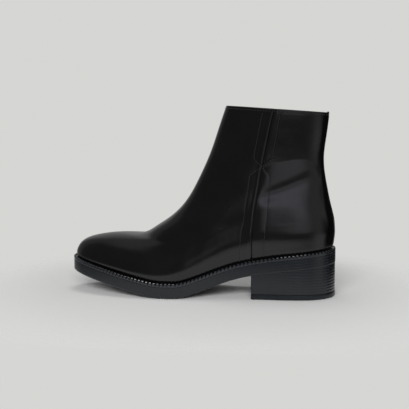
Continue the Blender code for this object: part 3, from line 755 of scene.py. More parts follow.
class LeatherGrid:
    """Places on the upper's smooth outer surface, row by row: toe, outer side, heel, inner side."""

    def __init__(self, rows, thin=1):
        self.rows = np.asarray(rows, float)
        beside_core = np.arange(SEAM_BAND, SEAM_CORE, -SEAM_COLUMN)
        core = np.arange(SEAM_CORE, -SEAM_CORE - SEAM_CORE_COLUMN / 2, -SEAM_CORE_COLUMN)
        band = np.concatenate([beside_core, core, -beside_core[::-1]])[::thin]
        beside = np.linspace(SEAM_BAND, SLOT_HALF_WIDTH, ZIP_BAND_COLUMNS)[::thin]
        if beside[-1] != SLOT_HALF_WIDTH:
            beside = np.append(beside, SLOT_HALF_WIDTH)
        zip_band = np.concatenate([beside, SLOT_COLUMNS, -beside[::-1]])
        front = FRONT_COLUMNS // thin
        back = BACK_COLUMNS // thin
        loops = [upper_loop(v) for v in self.rows]
        bases = []
        for v, loop in zip(self.rows, loops):
            outer = self.side_angles(loop, seam_along(v) + band, front, back)
            inner = self.side_angles(loop, seam_along(v) + zip_band, front, back)[::-1]
            sides = np.concatenate([np.full(len(outer), OUTER), np.full(len(inner) - 2, INNER)])
            bases.append(loop.points(np.concatenate([outer, inner[1:-1]]), sides))
        self.base = np.array(bases)
        self.side = sides
        self.columns = len(sides)
        self.back_column = len(outer) - 1
        self.u = self.base[..., 0]
        self.v = np.repeat(self.rows[:, None], self.columns, axis=1)
        self.from_seam = self.u - seam_along(self.v)
        self.normal = self.outward()
        self.from_back = self.distance_from_back()

    @staticmethod
    def side_angles(loop, beside_seam, front, back):
        """Angles of one side's columns, from the toe to the heel."""
        near = loop.angle_at(beside_seam)
        before = np.linspace(math.pi, near[0], front + 1)[:-1]
        behind = near[-1] * (1 - np.linspace(0, 1, back + 1)[1:]) ** BACK_EASE
        return np.concatenate([before, near, behind])

    def outward(self):
        along = np.roll(self.base, -1, axis=1) - np.roll(self.base, 1, axis=1)
        up = np.gradient(self.base, axis=0)
        return unit(np.cross(up, along))

    def distance_from_back(self):
        """Distance round the boot from the middle of its back."""
        steps = np.linalg.norm(np.diff(self.base, axis=1), axis=2)
        run = np.concatenate([np.zeros((len(self.rows), 1)), np.cumsum(steps, axis=1)], axis=1)
        return np.abs(run - run[:, self.back_column:self.back_column + 1])

    def slot(self):
        """Faces that lie in the zip's slot."""
        inner = self.side == INNER
        ahead = np.roll(self.from_seam, -1, axis=1)
        middle = (self.from_seam + ahead) / 2
        above_foot = self.v >= ZIP_FOOT_PLACE
        return inner & np.roll(inner, -1) & above_foot & (np.abs(middle) < SLOT_HALF_WIDTH)


def rounded_row(rows):
    """Offset of a stitch row by its place up the wall: straight runs with rounded corners."""
    places = np.linspace(0.0, 1.0, ROW_SAMPLES + 1)
    offsets = np.interp(places, *zip(*rows))
    reach = int(ROW_ROUNDING * ROW_SAMPLES)
    window = np.ones(2 * reach + 1) / (2 * reach + 1)
    for _ in range(2):
        offsets = np.convolve(np.pad(offsets, reach, mode="edge"), window, mode="valid")
    return lambda place: np.interp(place, places, offsets)


crossing_rows = [rounded_row(FRONT_TO_BACK_ROW), rounded_row(BACK_TO_FRONT_ROW)]
counter_edge = table_spline(COUNTER_EDGE)
counter_level = table_spline(COUNTER_LEVEL)
low_wall = table_spline(LOW_WALL)


def seam_relief(grid):
    """The outer side seam: a ridge before a valley, padded panels, and the lines its stitches press in."""
    s = grid.from_seam
    v = grid.v
    relief = ridges(s, SIDE_SEAM)
    relief -= SEAM_DIP * np.exp(-np.abs(s) / SEAM_DIP_RUN) * smooth_step(-s, *SEAM_DIP_EASE)
    relief += ridges(s, UPPER_PIPING) * smooth_step(v, *UPPER_PIPING_START)
    offsets = np.array([row(v) for row in crossing_rows])
    for offset in (offsets.max(axis=0), offsets.min(axis=0)):
        width = np.abs(offset)
        share = np.clip(s / np.where(width < PANEL_LEAST_WIDTH, PANEL_LEAST_WIDTH, offset), 0.0, 1.0)
        relief += PANEL_PAD * 4 * share * (1 - share) * np.clip(width / PANEL_FULL_WIDTH, 0.0, 1.0)
    for row, offset in zip(crossing_rows, offsets):
        slope = (row(v + ROW_STEP) - row(v - ROW_STEP)) / (2 * ROW_STEP * WALL_HEIGHT_AT_SEAM)
        relief += ridges((s - offset) / np.sqrt(1 + slope ** 2), SIDE_STITCH_LINE)
    return relief * smooth_step(v, *SEAM_START)


def zip_relief(grid):
    """The inner side: leather turned in at the zip's slot, its stitch lines, and the seam below the zip."""
    s = np.abs(grid.from_seam)
    beside = smooth_step(grid.v, *ZIP_FOOT_EASE)
    below = (1 - beside) * smooth_step(grid.v, *SEAM_START)
    edge = np.clip((s - SLOT_HALF_WIDTH) / ZIP_EDGE_RADIUS, 0.0, 1.0)
    turned_in = ZIP_EDGE_DROP * (np.sqrt(1 - (1 - edge) ** 2) - 1)
    return beside * (turned_in + ridges(s, ZIP_EDGES)) + below * ridges(s, LOW_ZIP_SEAM)


def fold_relief(grid):
    """Soft folds along short lines on the wall, fading out at their ends."""
    relief = np.zeros_like(grid.v)
    for fold in FOLDS:
        start = np.array([fold.place * WALL_HEIGHT_AT_SEAM, fold.along])
        end = np.array([fold.end_place * WALL_HEIGHT_AT_SEAM, fold.end_along])
        run = end - start
        here = np.stack([grid.v * WALL_HEIGHT_AT_SEAM, grid.u], axis=-1)
        share = np.clip(((here - start) @ run) / (run @ run), 0.0, 1.0)
        distance = np.linalg.norm(here - start - share[..., None] * run, axis=-1)
        on_side = 1.0 if fold.side == 0 else (grid.side == fold.side)
        relief += fold.height * hump(distance, fold.half_width) * on_side
    return relief


def counter_relief(grid):
    """The stiffened heel behind the seams: fuller below its edge, drawn in at half height."""
    below = (counter_edge(grid.u) - grid.v) * WALL_HEIGHT_AT_SEAM
    run = np.clip(below, 0.0, None)
    step = COUNTER_STEP * (1 - np.exp(-run / COUNTER_STEP_RUN)) * smooth_step(below, 0.0, COUNTER_STEP_EASE)
    step = step * smooth_step(grid.v, *COUNTER_STEP_START)
    clear = np.where(grid.side == OUTER, COUNTER_CLEAR_OUTER, COUNTER_CLEAR_INNER)
    behind_seam = smooth_step(-grid.from_seam - clear, 0.0, COUNTER_SEAM_EASE)
    beside_back = smooth_step(grid.from_back, *COUNTER_BACK_EASE)
    off_back = COUNTER_BACK_SHARE + (1 - COUNTER_BACK_SHARE) * beside_back
    return (counter_level(grid.v) + step) * behind_seam * off_back


def leather_relief(grid):
    """Height of everything that the smooth outer surface gets on top."""
    relief = np.where(grid.side == OUTER, seam_relief(grid), zip_relief(grid))
    relief += fold_relief(grid) + counter_relief(grid)
    before_back = smooth_step(grid.from_back, *LOW_WALL_START)
    relief += low_wall(grid.v) * before_back * (1 - smooth_step(grid.u, *LOW_WALL_END))
    relief += ridges(grid.from_back, BACK_SEAM) * smooth_step(grid.v, *SEAM_START)
    relief += ridges((grid.v - COLLAR_STITCH_PLACE) * WALL_HEIGHT_AT_COLLAR, COLLAR_STITCH_LINE)
    over_sole = grid.v * (FOOT_RISE - FOOT_FALL * grid.u)
    turn_in = np.clip((TURN_IN_TOP - over_sole) / TURN_IN_RUN, 0.0, 1.0)
    return relief - TURN_IN * turn_in ** 2


def leather_rows():
    """Rows up to the collar's roll, closer at the sole, and the rows of the roll's outer half."""
    rows = np.linspace(0.0, 1.0, LEATHER_ROWS) ** ROW_EASE * (1 - COLLAR_ROLL_PLACE)
    turns = np.radians(COLLAR_ROLL_TURNS)
    return np.concatenate([rows, 1 - COLLAR_ROLL_PLACE * (1 - np.sin(turns))])


def leather_shell(grid, outer, inner):
    """Places and faces of a closed shell between two surfaces on a grid, with the zip's slot left open."""
    faces = grid_faces(len(grid.rows), grid.columns, left_out=grid.slot())
    places = np.concatenate([outer.reshape(-1, 3), inner.reshape(-1, 3)])
    return places, shell_faces(faces, len(grid.rows) * grid.columns)


def make_leather(material):
    """The leather of the upper: one closed shell with its relief, rolled in at the collar."""
    grid = LeatherGrid(leather_rows())
    turn = np.zeros(len(grid.rows))
    turn[-len(COLLAR_ROLL_TURNS):] = np.radians(COLLAR_ROLL_TURNS)
    rolled = COLLAR_ROLL * (np.cos(turn) - 1)
    lift = leather_relief(grid) + rolled[:, None]
    outer = grid.base + grid.normal * lift[..., None]
    band = smooth_step(grid.rows, COLLAR_BAND_PLACE, COLLAR_BAND_PLACE + COLLAR_BAND_STEP)
    depth = LEATHER_THICKNESS + (WALL - LEATHER_THICKNESS) * band
    depth = np.where(turn > 0, COLLAR_ROLL * (1 + np.cos(turn)), depth)
    inner = grid.base - grid.normal * depth[:, None, None]
    tip = TIP_HEIGHT * hump(grid.from_back, TIP_HALF_WIDTH) * smooth_step(grid.v, COLLAR_BAND_PLACE, 1.0)
    outer[..., 2] += tip
    inner[..., 2] += tip
    places, shell = leather_shell(grid, outer, inner)
    piece = add_piece("upper_leather", places, shell, material, "upper_leather", node="upper")
    matt = np.tile(np.repeat(smooth_step(turn, 0.0, math.radians(COLLAR_ROLL_TURNS[1])), grid.columns), 2)
    share = piece.data.attributes.new(EDGE_SHARE, "FLOAT", "POINT")
    share.data.foreach_set("value", matt[used_corners(shell)])
    return grid


def make_lining(material):
    """The lining inside the leather, up to the collar's turned-in band."""
    grid = LeatherGrid(np.linspace(0.0, LINING_TOP_PLACE, LINING_ROWS), thin=LINING_THINNING)
    outer = grid.base + grid.normal * LINING_LIFT
    inner = grid.base - grid.normal * WALL
    add_piece("lining", *leather_shell(grid, outer, inner), material, "insole_lining")


# Threads


Spots = namedtuple("Spots", "v u side from_seam from_back")
FAR_FROM_BACK = 99.0


def capsule(start, end, radius, lift_direction):
    """A short thread with round ends: its places and faces."""
    run = end - start
    forward = unit(run)
    sideways = unit(np.cross(lift_direction, forward))
    upward = np.cross(forward, sideways)
    turns = np.linspace(0, 2 * math.pi, STITCH_SIDES, endpoint=False)
    round_places = np.cos(turns)[:, None] * sideways + np.sin(turns)[:, None] * upward
    rings = [start + run * share + round_places * radius * size for share, size in THREAD_ENDS]
    faces = grid_faces(len(rings), STITCH_SIDES)
    last = (len(rings) - 1) * STITCH_SIDES
    faces.append(tuple(range(STITCH_SIDES - 1, -1, -1)))
    faces.append(tuple(range(last, last + STITCH_SIDES)))
    return np.concatenate(rings), faces


def add_threads(name, threads, material, radius=STITCH_RADIUS):
    """One piece of many threads, each a start, an end and the direction off the leather."""
    places = []
    faces = []
    count = 0
    for start, end, off in threads:
        capsule_places, capsule_faces = capsule(start, end, radius, off)
        places.append(capsule_places)
        faces += [tuple(corner + count for corner in face[::-1]) for face in capsule_faces]
        count += len(capsule_places)
    add_piece(name, np.concatenate(places), faces, material, "upper_leather")


def threads_along(path, off, pitch, length, first=0.5):
    """Threads in a row along a path of places, pitch apart. first is the first one's place in its pitch."""
    run = run_along(path)
    middles = np.arange(pitch * first, run[-1] - pitch / 2, pitch)
    starts = at_marks(path, run, middles - length / 2)
    ends = at_marks(path, run, middles + length / 2)
    return list(zip(starts, ends, unit(at_marks(off, run, middles))))


def row_on_wall(places, offsets, side):
    """A path in its pressed line on the leather and its outward directions, by place up the wall and
    offset from the seam."""
    along = seam_along(places) + offsets
    off = np.array([upper_normal(v, u, side) for v, u in zip(places, along)])
    base = np.array([upper_point(v, u, side) for v, u in zip(places, along)])
    far = np.full(len(places), FAR_FROM_BACK)
    relief = leather_relief(Spots(places, along, np.full(len(places), side), offsets, far))
    return base + off * (relief + STITCH_LIFT)[:, None], off


def add_stitch_rows(name, rows, side, material, hole_shade_material):
    """Threads along rows of one side, each given by places and offsets, and the needle holes between them:
    short dark matt dots sunk into the leather, which paint the shade in the holes."""
    threads = []
    holes = []
    for places, offsets in rows:
        path, off = row_on_wall(places, offsets, side)
        threads += threads_along(path, off, STITCH_PITCH, STITCH_LENGTH)
        # Dark dots at the needle holes: painted shade.
        holes += threads_along(path - off * HOLE_SINK, off, STITCH_PITCH, HOLE_LENGTH, first=1.0)
    add_threads(f"{name}_stitches", threads, material)
    add_threads(f"{name}_needle_hole_shades", holes, hole_shade_material, HOLE_RADIUS)


def make_side_stitches(material, hole_shade_material):
    """The two rows that cross on the outer side seam, with the painted shade of their needle holes."""
    places = np.linspace(*STITCH_SPAN, SIDE_ROW_STEPS)
    rows = [(places, row(places)) for row in crossing_rows]
    add_stitch_rows("side", rows, OUTER, material, hole_shade_material)


def make_zip_stitches(material, hole_shade_material):
    """One row on each side of the zip, joined under its foot, with the painted shade of their needle holes.
    """
    places = np.linspace(ZIP_STITCH_FOOT, COLLAR_STITCH_PLACE, ZIP_ROW_STEPS)
    across = np.linspace(-ZIP_STITCH_OFFSET, ZIP_STITCH_OFFSET, ZIP_FOOT_STEPS)
    rows = [(places, np.full(len(places), offset)) for offset in (ZIP_STITCH_OFFSET, -ZIP_STITCH_OFFSET)]
    rows.append((np.full(len(across), places[0]), across))
    add_stitch_rows("zip", rows, INNER, material, hole_shade_material)


def make_collar_stitches(grid, material):
    """A row round the collar, open at the zip."""
    row = int(np.argmin(np.abs(grid.rows - COLLAR_STITCH_PLACE)))
    from_zip = np.where(grid.side == INNER, np.abs(grid.from_seam[row]), np.inf)
    order = np.roll(np.arange(grid.columns), -int(np.argmin(from_zip)))
    order = order[from_zip[order] > ZIP_STITCH_OFFSET]
    off = grid.normal[row, order]
    path = grid.base[row, order] + off * COLLAR_STITCH_LIFT
    threads = threads_along(path, off, COLLAR_STITCH_PITCH, STITCH_LENGTH)
    add_threads("collar_stitches", threads, material)


def make_back_stitches(material):
    """Close zig-zag over the seam at the middle of the back."""
    places = np.linspace(STITCH_SPAN[0], BACK_STITCH_TOP, BACK_ROW_STEPS)
    middle = np.array([upper_loop(v).points(0.0, OUTER) for v in places])
    run = run_along(middle)
    marks = np.arange(0.0, run[-1], BACK_SEAM_PITCH / 2)
    v = np.interp(marks, run, places)
    side = np.where(np.arange(len(marks)) % 2, OUTER, INNER)
    loops = [upper_loop(place) for place in v]
    base = np.array([
        loop.points(BACK_SEAM_REACH / loop.reach(0.0), end_side) for loop, end_side in zip(loops, side)
    ])
    up = at_marks(np.gradient(middle, axis=0), run, marks)
    off = unit(np.column_stack([-up[:, 2], np.zeros(len(marks)), up[:, 0]]))
    reach = np.full(len(marks), BACK_SEAM_REACH)
    relief = leather_relief(Spots(v, base[:, 0], side, base[:, 0] - seam_along(v), reach))
    ends = base + off * (relief + BACK_STITCH_LIFT)[:, None]
    add_threads("back_stitches", zip(ends, ends[1:], off), material)


# Sole and heel


def even_turns(loop, pitch, steps):
    """Turns that divide a loop's outline into whole pitches of equal length, each of so many steps."""
    turns = np.linspace(0, 2 * math.pi, LENGTH_SAMPLES)
    run = run_along(turned_points(loop, turns))
    count = round(run[-1] / pitch) * steps
    return np.interp(np.arange(count) / count * run[-1], run, turns)


def make_welt(material):
    """The welt all the way round, with rounded teeth rolled into its upper edge."""
    edge = Loop(SOLE_EDGE)
    turns = even_turns(edge, TOOTH_PITCH, TOOTH_COLUMNS)
    columns = len(turns)
    place_in_tooth = np.arange(columns) % TOOTH_COLUMNS / TOOTH_COLUMNS
    notch = smooth_step(np.abs(place_in_tooth - 0.5), *NOTCH_FLANK)
    outer = drawn_in(edge, turns, 0.0)
    wall = drawn_in(upper_loop(WELT_TOP_PLACE), turns, -WELT_CLEARANCE)
    foot = drawn_in(upper_loop(0.0), turns, -WELT_CLEARANCE)
    inward = unit(wall - outer)
    rows = []
    for profile in WELT_PROFILE:
        plan = outer + (wall - outer) * profile.across
        depth = np.minimum(profile.in_cut, NOTCH_REACH * np.linalg.norm(wall - outer, axis=1))
        plan = plan + inward * (depth * notch)[:, None]
        rows.append(raised(plan, profile.lift - profile.down_cut * notch))
    rows.append(raised(wall, WELT_INNER_LIFT))
    rows.append(raised(foot, GAP))
    faces = grid_faces(len(rows), columns, closed_rows=True)
    add_piece("welt_notched", np.concatenate(rows), faces, material, "welt_rubber", node="welt")


def raised(plan, lift):
    """Places over the outsole's top, from an outline seen from above."""
    height = sole_top(plan[:, 0]) + lift
    return np.column_stack([plan, height])


def rib_groove(height):
    """Depth of the grooves between rounded ribs, by height in the stack."""
    from_middle = np.abs(2 * (height / RIB_PITCH % 1.0) - 1)
    return RIB_DEPTH * smooth_step(from_middle, RIB_LAND, 1.0)


def rib_share(turns):
    """How deep the ribs are by turn: full at the back of the heel, faint on its sides, none before it."""
    behind = smooth_step(np.cos(turns - math.pi), *RIB_FULL)
    beside = smooth_step(np.cos(turns - math.pi), *RIB_START)
    return RIB_SIDE_SHARE * beside + (1 - RIB_SIDE_SHARE) * behind


def make_outsole(material):
    """The outsole with a rounded tread edge, and the heel's ribs carried up over its back."""
    loop = Loop(SOLE_EDGE)
    turns = np.linspace(0, 2 * math.pi, 2 * OUTLINE_STEPS, endpoint=False)
    ribs = rib_share(turns)
    before_heel = smooth_step(turned_points(loop, turns)[:, 0], *JOINT_EDGE_END)
    rounding = JOINT_EDGE + (1 - JOINT_EDGE) * before_heel
    side = np.linspace(SOLE_LOW_EDGE[-1][1], OUTSOLE_THICKNESS + SOLE_HIGH_EDGE[0][1], SOLE_SIDE_ROWS)
    rows = [(inset * rounding, lift) for inset, lift in SOLE_LOW_EDGE]
    rows += [(0.0, lift) for lift in side[1:-1]]
    rows += [(inset, OUTSOLE_THICKNESS + lift) for inset, lift in SOLE_HIGH_EDGE]
    places = []
    for inset, lift in rows:
        plan = drawn_in(loop, turns, inset + ribs * rib_groove(lift))
        places.append(np.column_stack([plan, sole_bottom(plan[:, 0]) + lift]))
    count = len(turns)
    faces = grid_faces(len(places), count)
    faces += plate_faces(0, count, flip=True)
    faces += plate_faces((len(places) - 1) * count, count, flip=False)
    places = np.concatenate(places)
    piece = add_piece("outsole_plate", places, faces, material, "outsole_rubber", node="outsole")
    close_mesh(piece, SOLE_MERGE)


def heel_outline(inset):
    """The sole's outline behind the breast, closed by the breast, and each place's share of the ribs."""
    loop = Loop(SOLE_EDGE)
    breast_angle = loop.angle_at(HEEL_LENGTH - BREAST_ROUNDING)
    turns = np.linspace(math.pi - breast_angle, math.pi + breast_angle, 2 * HEEL_STEPS + 1)
    curve = drawn_in(loop, turns, np.broadcast_to(inset, turns.shape))
    across = np.linspace(1, 0, BREAST_STEPS + 1)
    outer_end = curve[0, 1] + BREAST_ROUNDING
    inner_end = curve[-1, 1] - BREAST_ROUNDING
    breast = np.column_stack([
        np.full(len(across), HEEL_LENGTH),
        outer_end + (inner_end - outer_end) * across,
    ])
    shares = np.concatenate([rib_share(turns), np.full(len(across), RIB_BREAST_SHARE)])
    return np.concatenate([curve, breast]), shares


def make_heel_block(material):
    """Stacked block with rounded ribs, deep at the back and faint on the sides, cut off by the outsole."""
    foot = TOP_PIECE_THICKNESS + GAP
    crown = float(sole_bottom(0.0))
    levels = np.linspace(foot, crown, int((crown - foot) / RIB_PITCH * RIB_ROWS) + 1)
    rows = []
    for level in levels:
        groove = float(rib_groove(level - foot))
        flare = HEEL_FLARE * (1 - level / crown)
        plan, shares = heel_outline(HEEL_STEP - flare)
        deeper, _ = heel_outline(HEEL_STEP - flare + groove)
        plan = plan + (deeper - plan) * shares[:, None]
        ceiling = sole_bottom(plan[:, 0]) - JOINT_GAP
        rows.append(np.column_stack([plan, np.minimum(level, ceiling)]))
    count = len(rows[0])
    faces = grid_faces(len(rows), count)
    faces.append(tuple(reversed(range(count))))
    faces += heel_cap((len(rows) - 1) * count, count)
    piece = add_piece("heel_stack", np.concatenate(rows), faces, material, "heel_stack", node="heel_block")
    close_mesh(piece, HEEL_MERGE)
    piece.data.set_sharp_from_angle(angle=math.radians(SOLE_EDGE_ANGLE))


def heel_cap(first, count):
    """Cap of the heel's sloped top: strips across between its two sides."""
    curve = 2 * HEEL_STEPS + 1
    faces = []
    for i in range(HEEL_STEPS):
        far = curve - 1 - i
        corners = [first + i, first + i + 1, first + far - 1, first + far]
        faces.append(tuple(dict.fromkeys(corners)))
    faces.append((first + curve - 1, *range(first + curve, first + count), first))
    return faces


def make_top_piece(material):
    """Flat wearing plate under the heel, with rounded edges."""
    edge = HEEL_STEP - HEEL_FLARE - TOP_PIECE_STEP
    levels = PLATE_EDGE + [(inset, TOP_PIECE_THICKNESS - lift) for inset, lift in reversed(PLATE_EDGE)]
    rows = []
    for inset, level in levels:
        plan, _ = heel_outline(edge + inset)
        rows.append(np.column_stack([plan, np.full(len(plan), level)]))
    count = len(rows[0])
    faces = grid_faces(len(rows), count)
    faces.append(tuple(reversed(range(count))))
    faces.append(tuple(range((len(rows) - 1) * count, len(rows) * count)))
    places = np.concatenate(rows)
    piece = add_piece("heel_top_plate", places, faces, material, "top_piece_rubber", node="heel_top_piece")
    piece.data.set_sharp_from_angle(angle=math.radians(SOLE_EDGE_ANGLE))


# Zip


def frame_direction(direction):
    return Vector((-direction[0], direction[1], direction[2]))


def zip_axes(v):
    """Placement on the zip's line: x along the boot, y up the zip, z off the leather."""
    def on_zip(place):
        return Vector(to_frame(upper_point(place, seam_along(place), INNER)))

    off = frame_direction(upper_normal(v, seam_along(v), INNER)).normalized()
    up = on_zip(min(v + STEP_UP, 1.0)) - on_zip(v - STEP_UP)
    up = (up - off * up.dot(off)).normalized()
    along = up.cross(off)
    matrix = Matrix((along, up, off)).transposed().to_4x4()
    matrix.translation = on_zip(v)
    return matrix


def rounded_block(shape, size, matrix, rounding):
    """Adds a box with bevelled edges to a bmesh, sizes in millimetres."""
    placing = matrix @ Matrix.Diagonal((*(Vector(size) * MM), 1.0))
    made = bmesh.ops.create_cube(shape, size=1.0, matrix=placing)["verts"]
    edges = list({edge for vertex in made for edge in vertex.link_edges})
    bmesh.ops.bevel(shape, geom=edges, offset=rounding * MM, segments=2, profile=0.5, affect="EDGES")


def make_zip_teeth(material):
    """The closed chain: teeth from both sides in turn, which meet on the zip's line."""
    places = np.linspace(ZIP_FOOT_PLACE + ZIP_END_MARGIN, 1 - ZIP_END_MARGIN, ZIP_LINE_STEPS)
    run = run_along(np.array([upper_point(v, seam_along(v), INNER) for v in places]))
    shape = bmesh.new()
    for i, mark in enumerate(np.arange(TOOTH_STEP, run[-1] - TOOTH_STEP / 2, TOOTH_STEP)):
        axes = zip_axes(float(np.interp(mark, run, places)))
        side = 1 if i % 2 else -1
        shift = Matrix.Translation(Vector((side * ZIP_TOOTH_CENTRE, 0.0, -ZIP_TOOTH_SINK)) * MM)
        rounded_block(shape, ZIP_TOOTH, axes @ shift, ZIP_TOOTH_ROUNDING)
    add_shape("zip_teeth", shape, material, "boot", "zip_chain")


def bar_turning_radius():
    return math.hypot(TAB_BAR, TAB_THICKNESS) / 2


def bar_height():
    """Height of the tab's bar off the leather: over the slider's plate, with room to turn."""
    return SLIDER_LIFT + SLIDER_PLATE + bar_turning_radius() + BAR_PLAY


def curve_plate(name, outlines, thickness, matrix):
    """A plate with rounded rims from outlines in its own plane, as a bmesh in the boot's frame."""
    curve = bpy.data.curves.new(name, "CURVE")
    curve.dimensions = "2D"
    curve.fill_mode = "BOTH"
    curve.extrude = (thickness / 2 - METAL_ROUNDING) * MM
    curve.bevel_depth = METAL_ROUNDING * MM
    curve.bevel_resolution = 3
    curve.offset = -METAL_ROUNDING * MM
    for corners in outlines:
        path = curve.splines.new("POLY")
        path.points.add(len(corners) - 1)
        for point, (x, y) in zip(path.points, corners):
            point.co = (x * MM, y * MM, 0.0, 1.0)
        path.use_cyclic_u = True
    holder = new_object(name, curve)
    graph = bpy.context.evaluated_depsgraph_get()
    mesh = bpy.data.meshes.new_from_object(holder.evaluated_get(graph))
    mesh.transform(matrix)
    shape = bmesh.new()
    shape.from_mesh(mesh)
    bmesh.ops.remove_doubles(shape, verts=shape.verts, dist=METAL_MERGE * MM)
    bpy.data.objects.remove(holder)
    bpy.data.curves.remove(curve)
    bpy.data.meshes.remove(mesh)
    return shape


def rounded_corner(x, y, radius, start, steps=5):
    """A quarter turn of an outline about a corner's centre, from an angle in degrees."""
    turns = np.radians(start - np.linspace(0, 90, steps))
    return [(x + radius * math.cos(turn), y + radius * math.sin(turn)) for turn in turns]


def mirrored(corners):
    """The other half of an outline."""
    return [(-x, y) for x, y in reversed(corners)]


def slider_outline():
    """The slider's plate: broad at the top, drawn in at the waist, rounded corners."""
    half = SLIDER_WIDTH / 2
    waist = SLIDER_WAIST / 2
    end = SLIDER_LENGTH / 2
    head = SLIDER_HEAD_CORNER
    foot = SLIDER_FOOT_CORNER
    right = rounded_corner(half - head, end - head, head, 90.0)
    right += zip((half, (half + waist) / 2), SLIDER_FLANK_HEIGHTS)
    right += rounded_corner(waist - foot, foot - end, foot, 0.0)
    return right + mirrored(right)


def make_slider(material):
    """The slider: plate, core in the slot, and a bail bent over the tab's bar."""
    axes = zip_axes(SLIDER_PLACE)
    plate = Matrix.Translation((0.0, 0.0, (SLIDER_LIFT + SLIDER_PLATE / 2) * MM))
    shape = curve_plate("slider_plate", [slider_outline()], SLIDER_PLATE, axes @ plate)
    core_top = SLIDER_LIFT + CORE_REACH
    core_size = (*CORE_SIZE, core_top + CORE_SINK)
    core = axes @ Matrix.Translation((0.0, 0.0, (core_top - CORE_SINK) / 2 * MM))
    rounded_block(shape, core_size, core, CORE_ROUNDING)
    add_bail(shape, axes)
    add_shape("slider", shape, material, "boot", "zip_slider")


def arch(reach, foot, crown, corner):
    """Half an outline and its mirror image: up from the foot, over the crown and down again."""
    right = rounded_corner(reach - corner, crown - corner, corner, 90.0)
    right.append((reach, foot))
    return np.array(mirrored(right) + right)


def add_bail(shape, axes):
    """A flat strip with chamfered edges, bent into an arch over the plate."""
    foot = SLIDER_LIFT + SLIDER_PLATE - BAIL_SINK
    underside = bar_height() + bar_turning_radius() + BAR_PLAY
    reach = BAIL_LENGTH / 2
    outer = arch(reach, foot, underside + BAIL_THICKNESS, BAIL_CORNER)
    inner = arch(reach - BAIL_THICKNESS, foot, underside, BAIL_CORNER - BAIL_THICKNESS)
    chamfer = unit(inner - outer) * BAIL_CHAMFER
    half = BAIL_WIDTH / 2
    flat = half - BAIL_CHAMFER
    section = [(-half, outer + chamfer), (-flat, outer), (flat, outer), (half, outer + chamfer)]
    section += [(half, inner - chamfer), (flat, inner), (-flat, inner), (-half, inner - chamfer)]
    corners = []
    for i in range(len(outer)):
        corners += [shape.verts.new(axes @ (Vector((x, *line[i])) * MM)) for x, line in section]
    sides = len(section)
    faces = grid_faces(len(outer), sides)
    faces += [tuple(range(sides)), tuple(range(len(corners) - sides, len(corners)))]
    for face in faces:
        shape.faces.new([corners[i] for i in face])


def tab_axes():
    """The tab's place: its origin on its bar's axis, its length hanging straight down."""
    slider = zip_axes(SLIDER_PLACE)
    along = slider.to_3x3().col[0]
    up = Vector((0.0, 0.0, 1.0))
    up = (up - along * up.dot(along)).normalized()
    matrix = Matrix((along, up, along.cross(up))).transposed().to_4x4()
    matrix.translation = slider @ Vector((0.0, 0.0, bar_height() * MM))
    return matrix


def tab_outline():
    """The tab's outline: head, shoulders and a rounded foot."""
    head = TAB_HEAD_WIDTH / 2
    side = TAB_WIDTH / 2
    foot = TAB_BAR / 2 - TAB_LENGTH
    corner = TAB_HEAD_CORNER
    right = rounded_corner(head - corner, TAB_BAR / 2 - corner, corner, 90.0, TAB_HEAD_STEPS)
    right += [(head, -WINDOW_REACH), (side, -TAB_SHOULDER)]
    right += rounded_corner(side - TAB_CORNER, foot + TAB_CORNER, TAB_CORNER, 0.0)
    return right + mirrored(right)


def make_tab(material):
    """The pull tab: a plate with rounded rims and a window that hangs in the bail."""
    window = WINDOW_WIDTH / 2
    bar = -TAB_BAR / 2
    hole = [(window, bar), (-window, bar), (-window, -WINDOW_REACH), (window, -WINDOW_REACH)]
    shape = curve_plate("tab_plate", [tab_outline(), hole], TAB_THICKNESS, tab_axes())
    add_shape("pull_tab_plate", shape, material, "pull_tab", "zip_pull_tab")


# Materials


class NodeTree:
    """Short ways to add nodes to a material or world and link them."""

    def __init__(self, tree):
        self.tree = tree

    def node(self, kind, **settings):
        made = self.tree.nodes.new(kind)
        for name, value in settings.items():
            setattr(made, name, value)
        return made

    def put(self, socket, value):
        """Links a value that is a socket, or sets it as the socket's own."""
        if isinstance(value, bpy.types.NodeSocket):
            self.tree.links.new(value, socket)
        else:
            socket.default_value = value

    def fill(self, node, **values):
        """Links or sets a node's inputs. In a name, _ stands for a space."""
        for name, value in values.items():
            self.put(node.inputs[name.replace("_", " ")], value)

    def math(self, operation, first, second=0.0):
        made = self.node("ShaderNodeMath", operation=operation)
        self.put(made.inputs[0], first)
        self.put(made.inputs[1], second)
        return made.outputs[0]

    def span(self, value, low, high, to_low=0.0, to_high=1.0):
        """Maps a value softly from one span to another, held at both ends."""
        made = self.node("ShaderNodeMapRange", interpolation_type="SMOOTHSTEP")
        for socket, number in zip(made.inputs[:5], (value, low, high, to_low, to_high)):
            self.put(socket, number)
        return made.outputs["Result"]

    def axes(self, vector):
        """The X, Y and Z of a vector."""
        made = self.node("ShaderNodeSeparateXYZ")
        self.put(made.inputs[0], vector)
        return made.outputs

    def mix_colour(self, share, first, second):
        made = self.node("ShaderNodeMix", data_type="RGBA")
        self.put(made.inputs["Factor"], share)
        for name, colour in (("A", first), ("B", second)):
            is_plain = not isinstance(colour, bpy.types.NodeSocket)
            self.put(made.inputs[name], (*colour, 1.0) if is_plain else colour)
        return made.outputs["Result"]


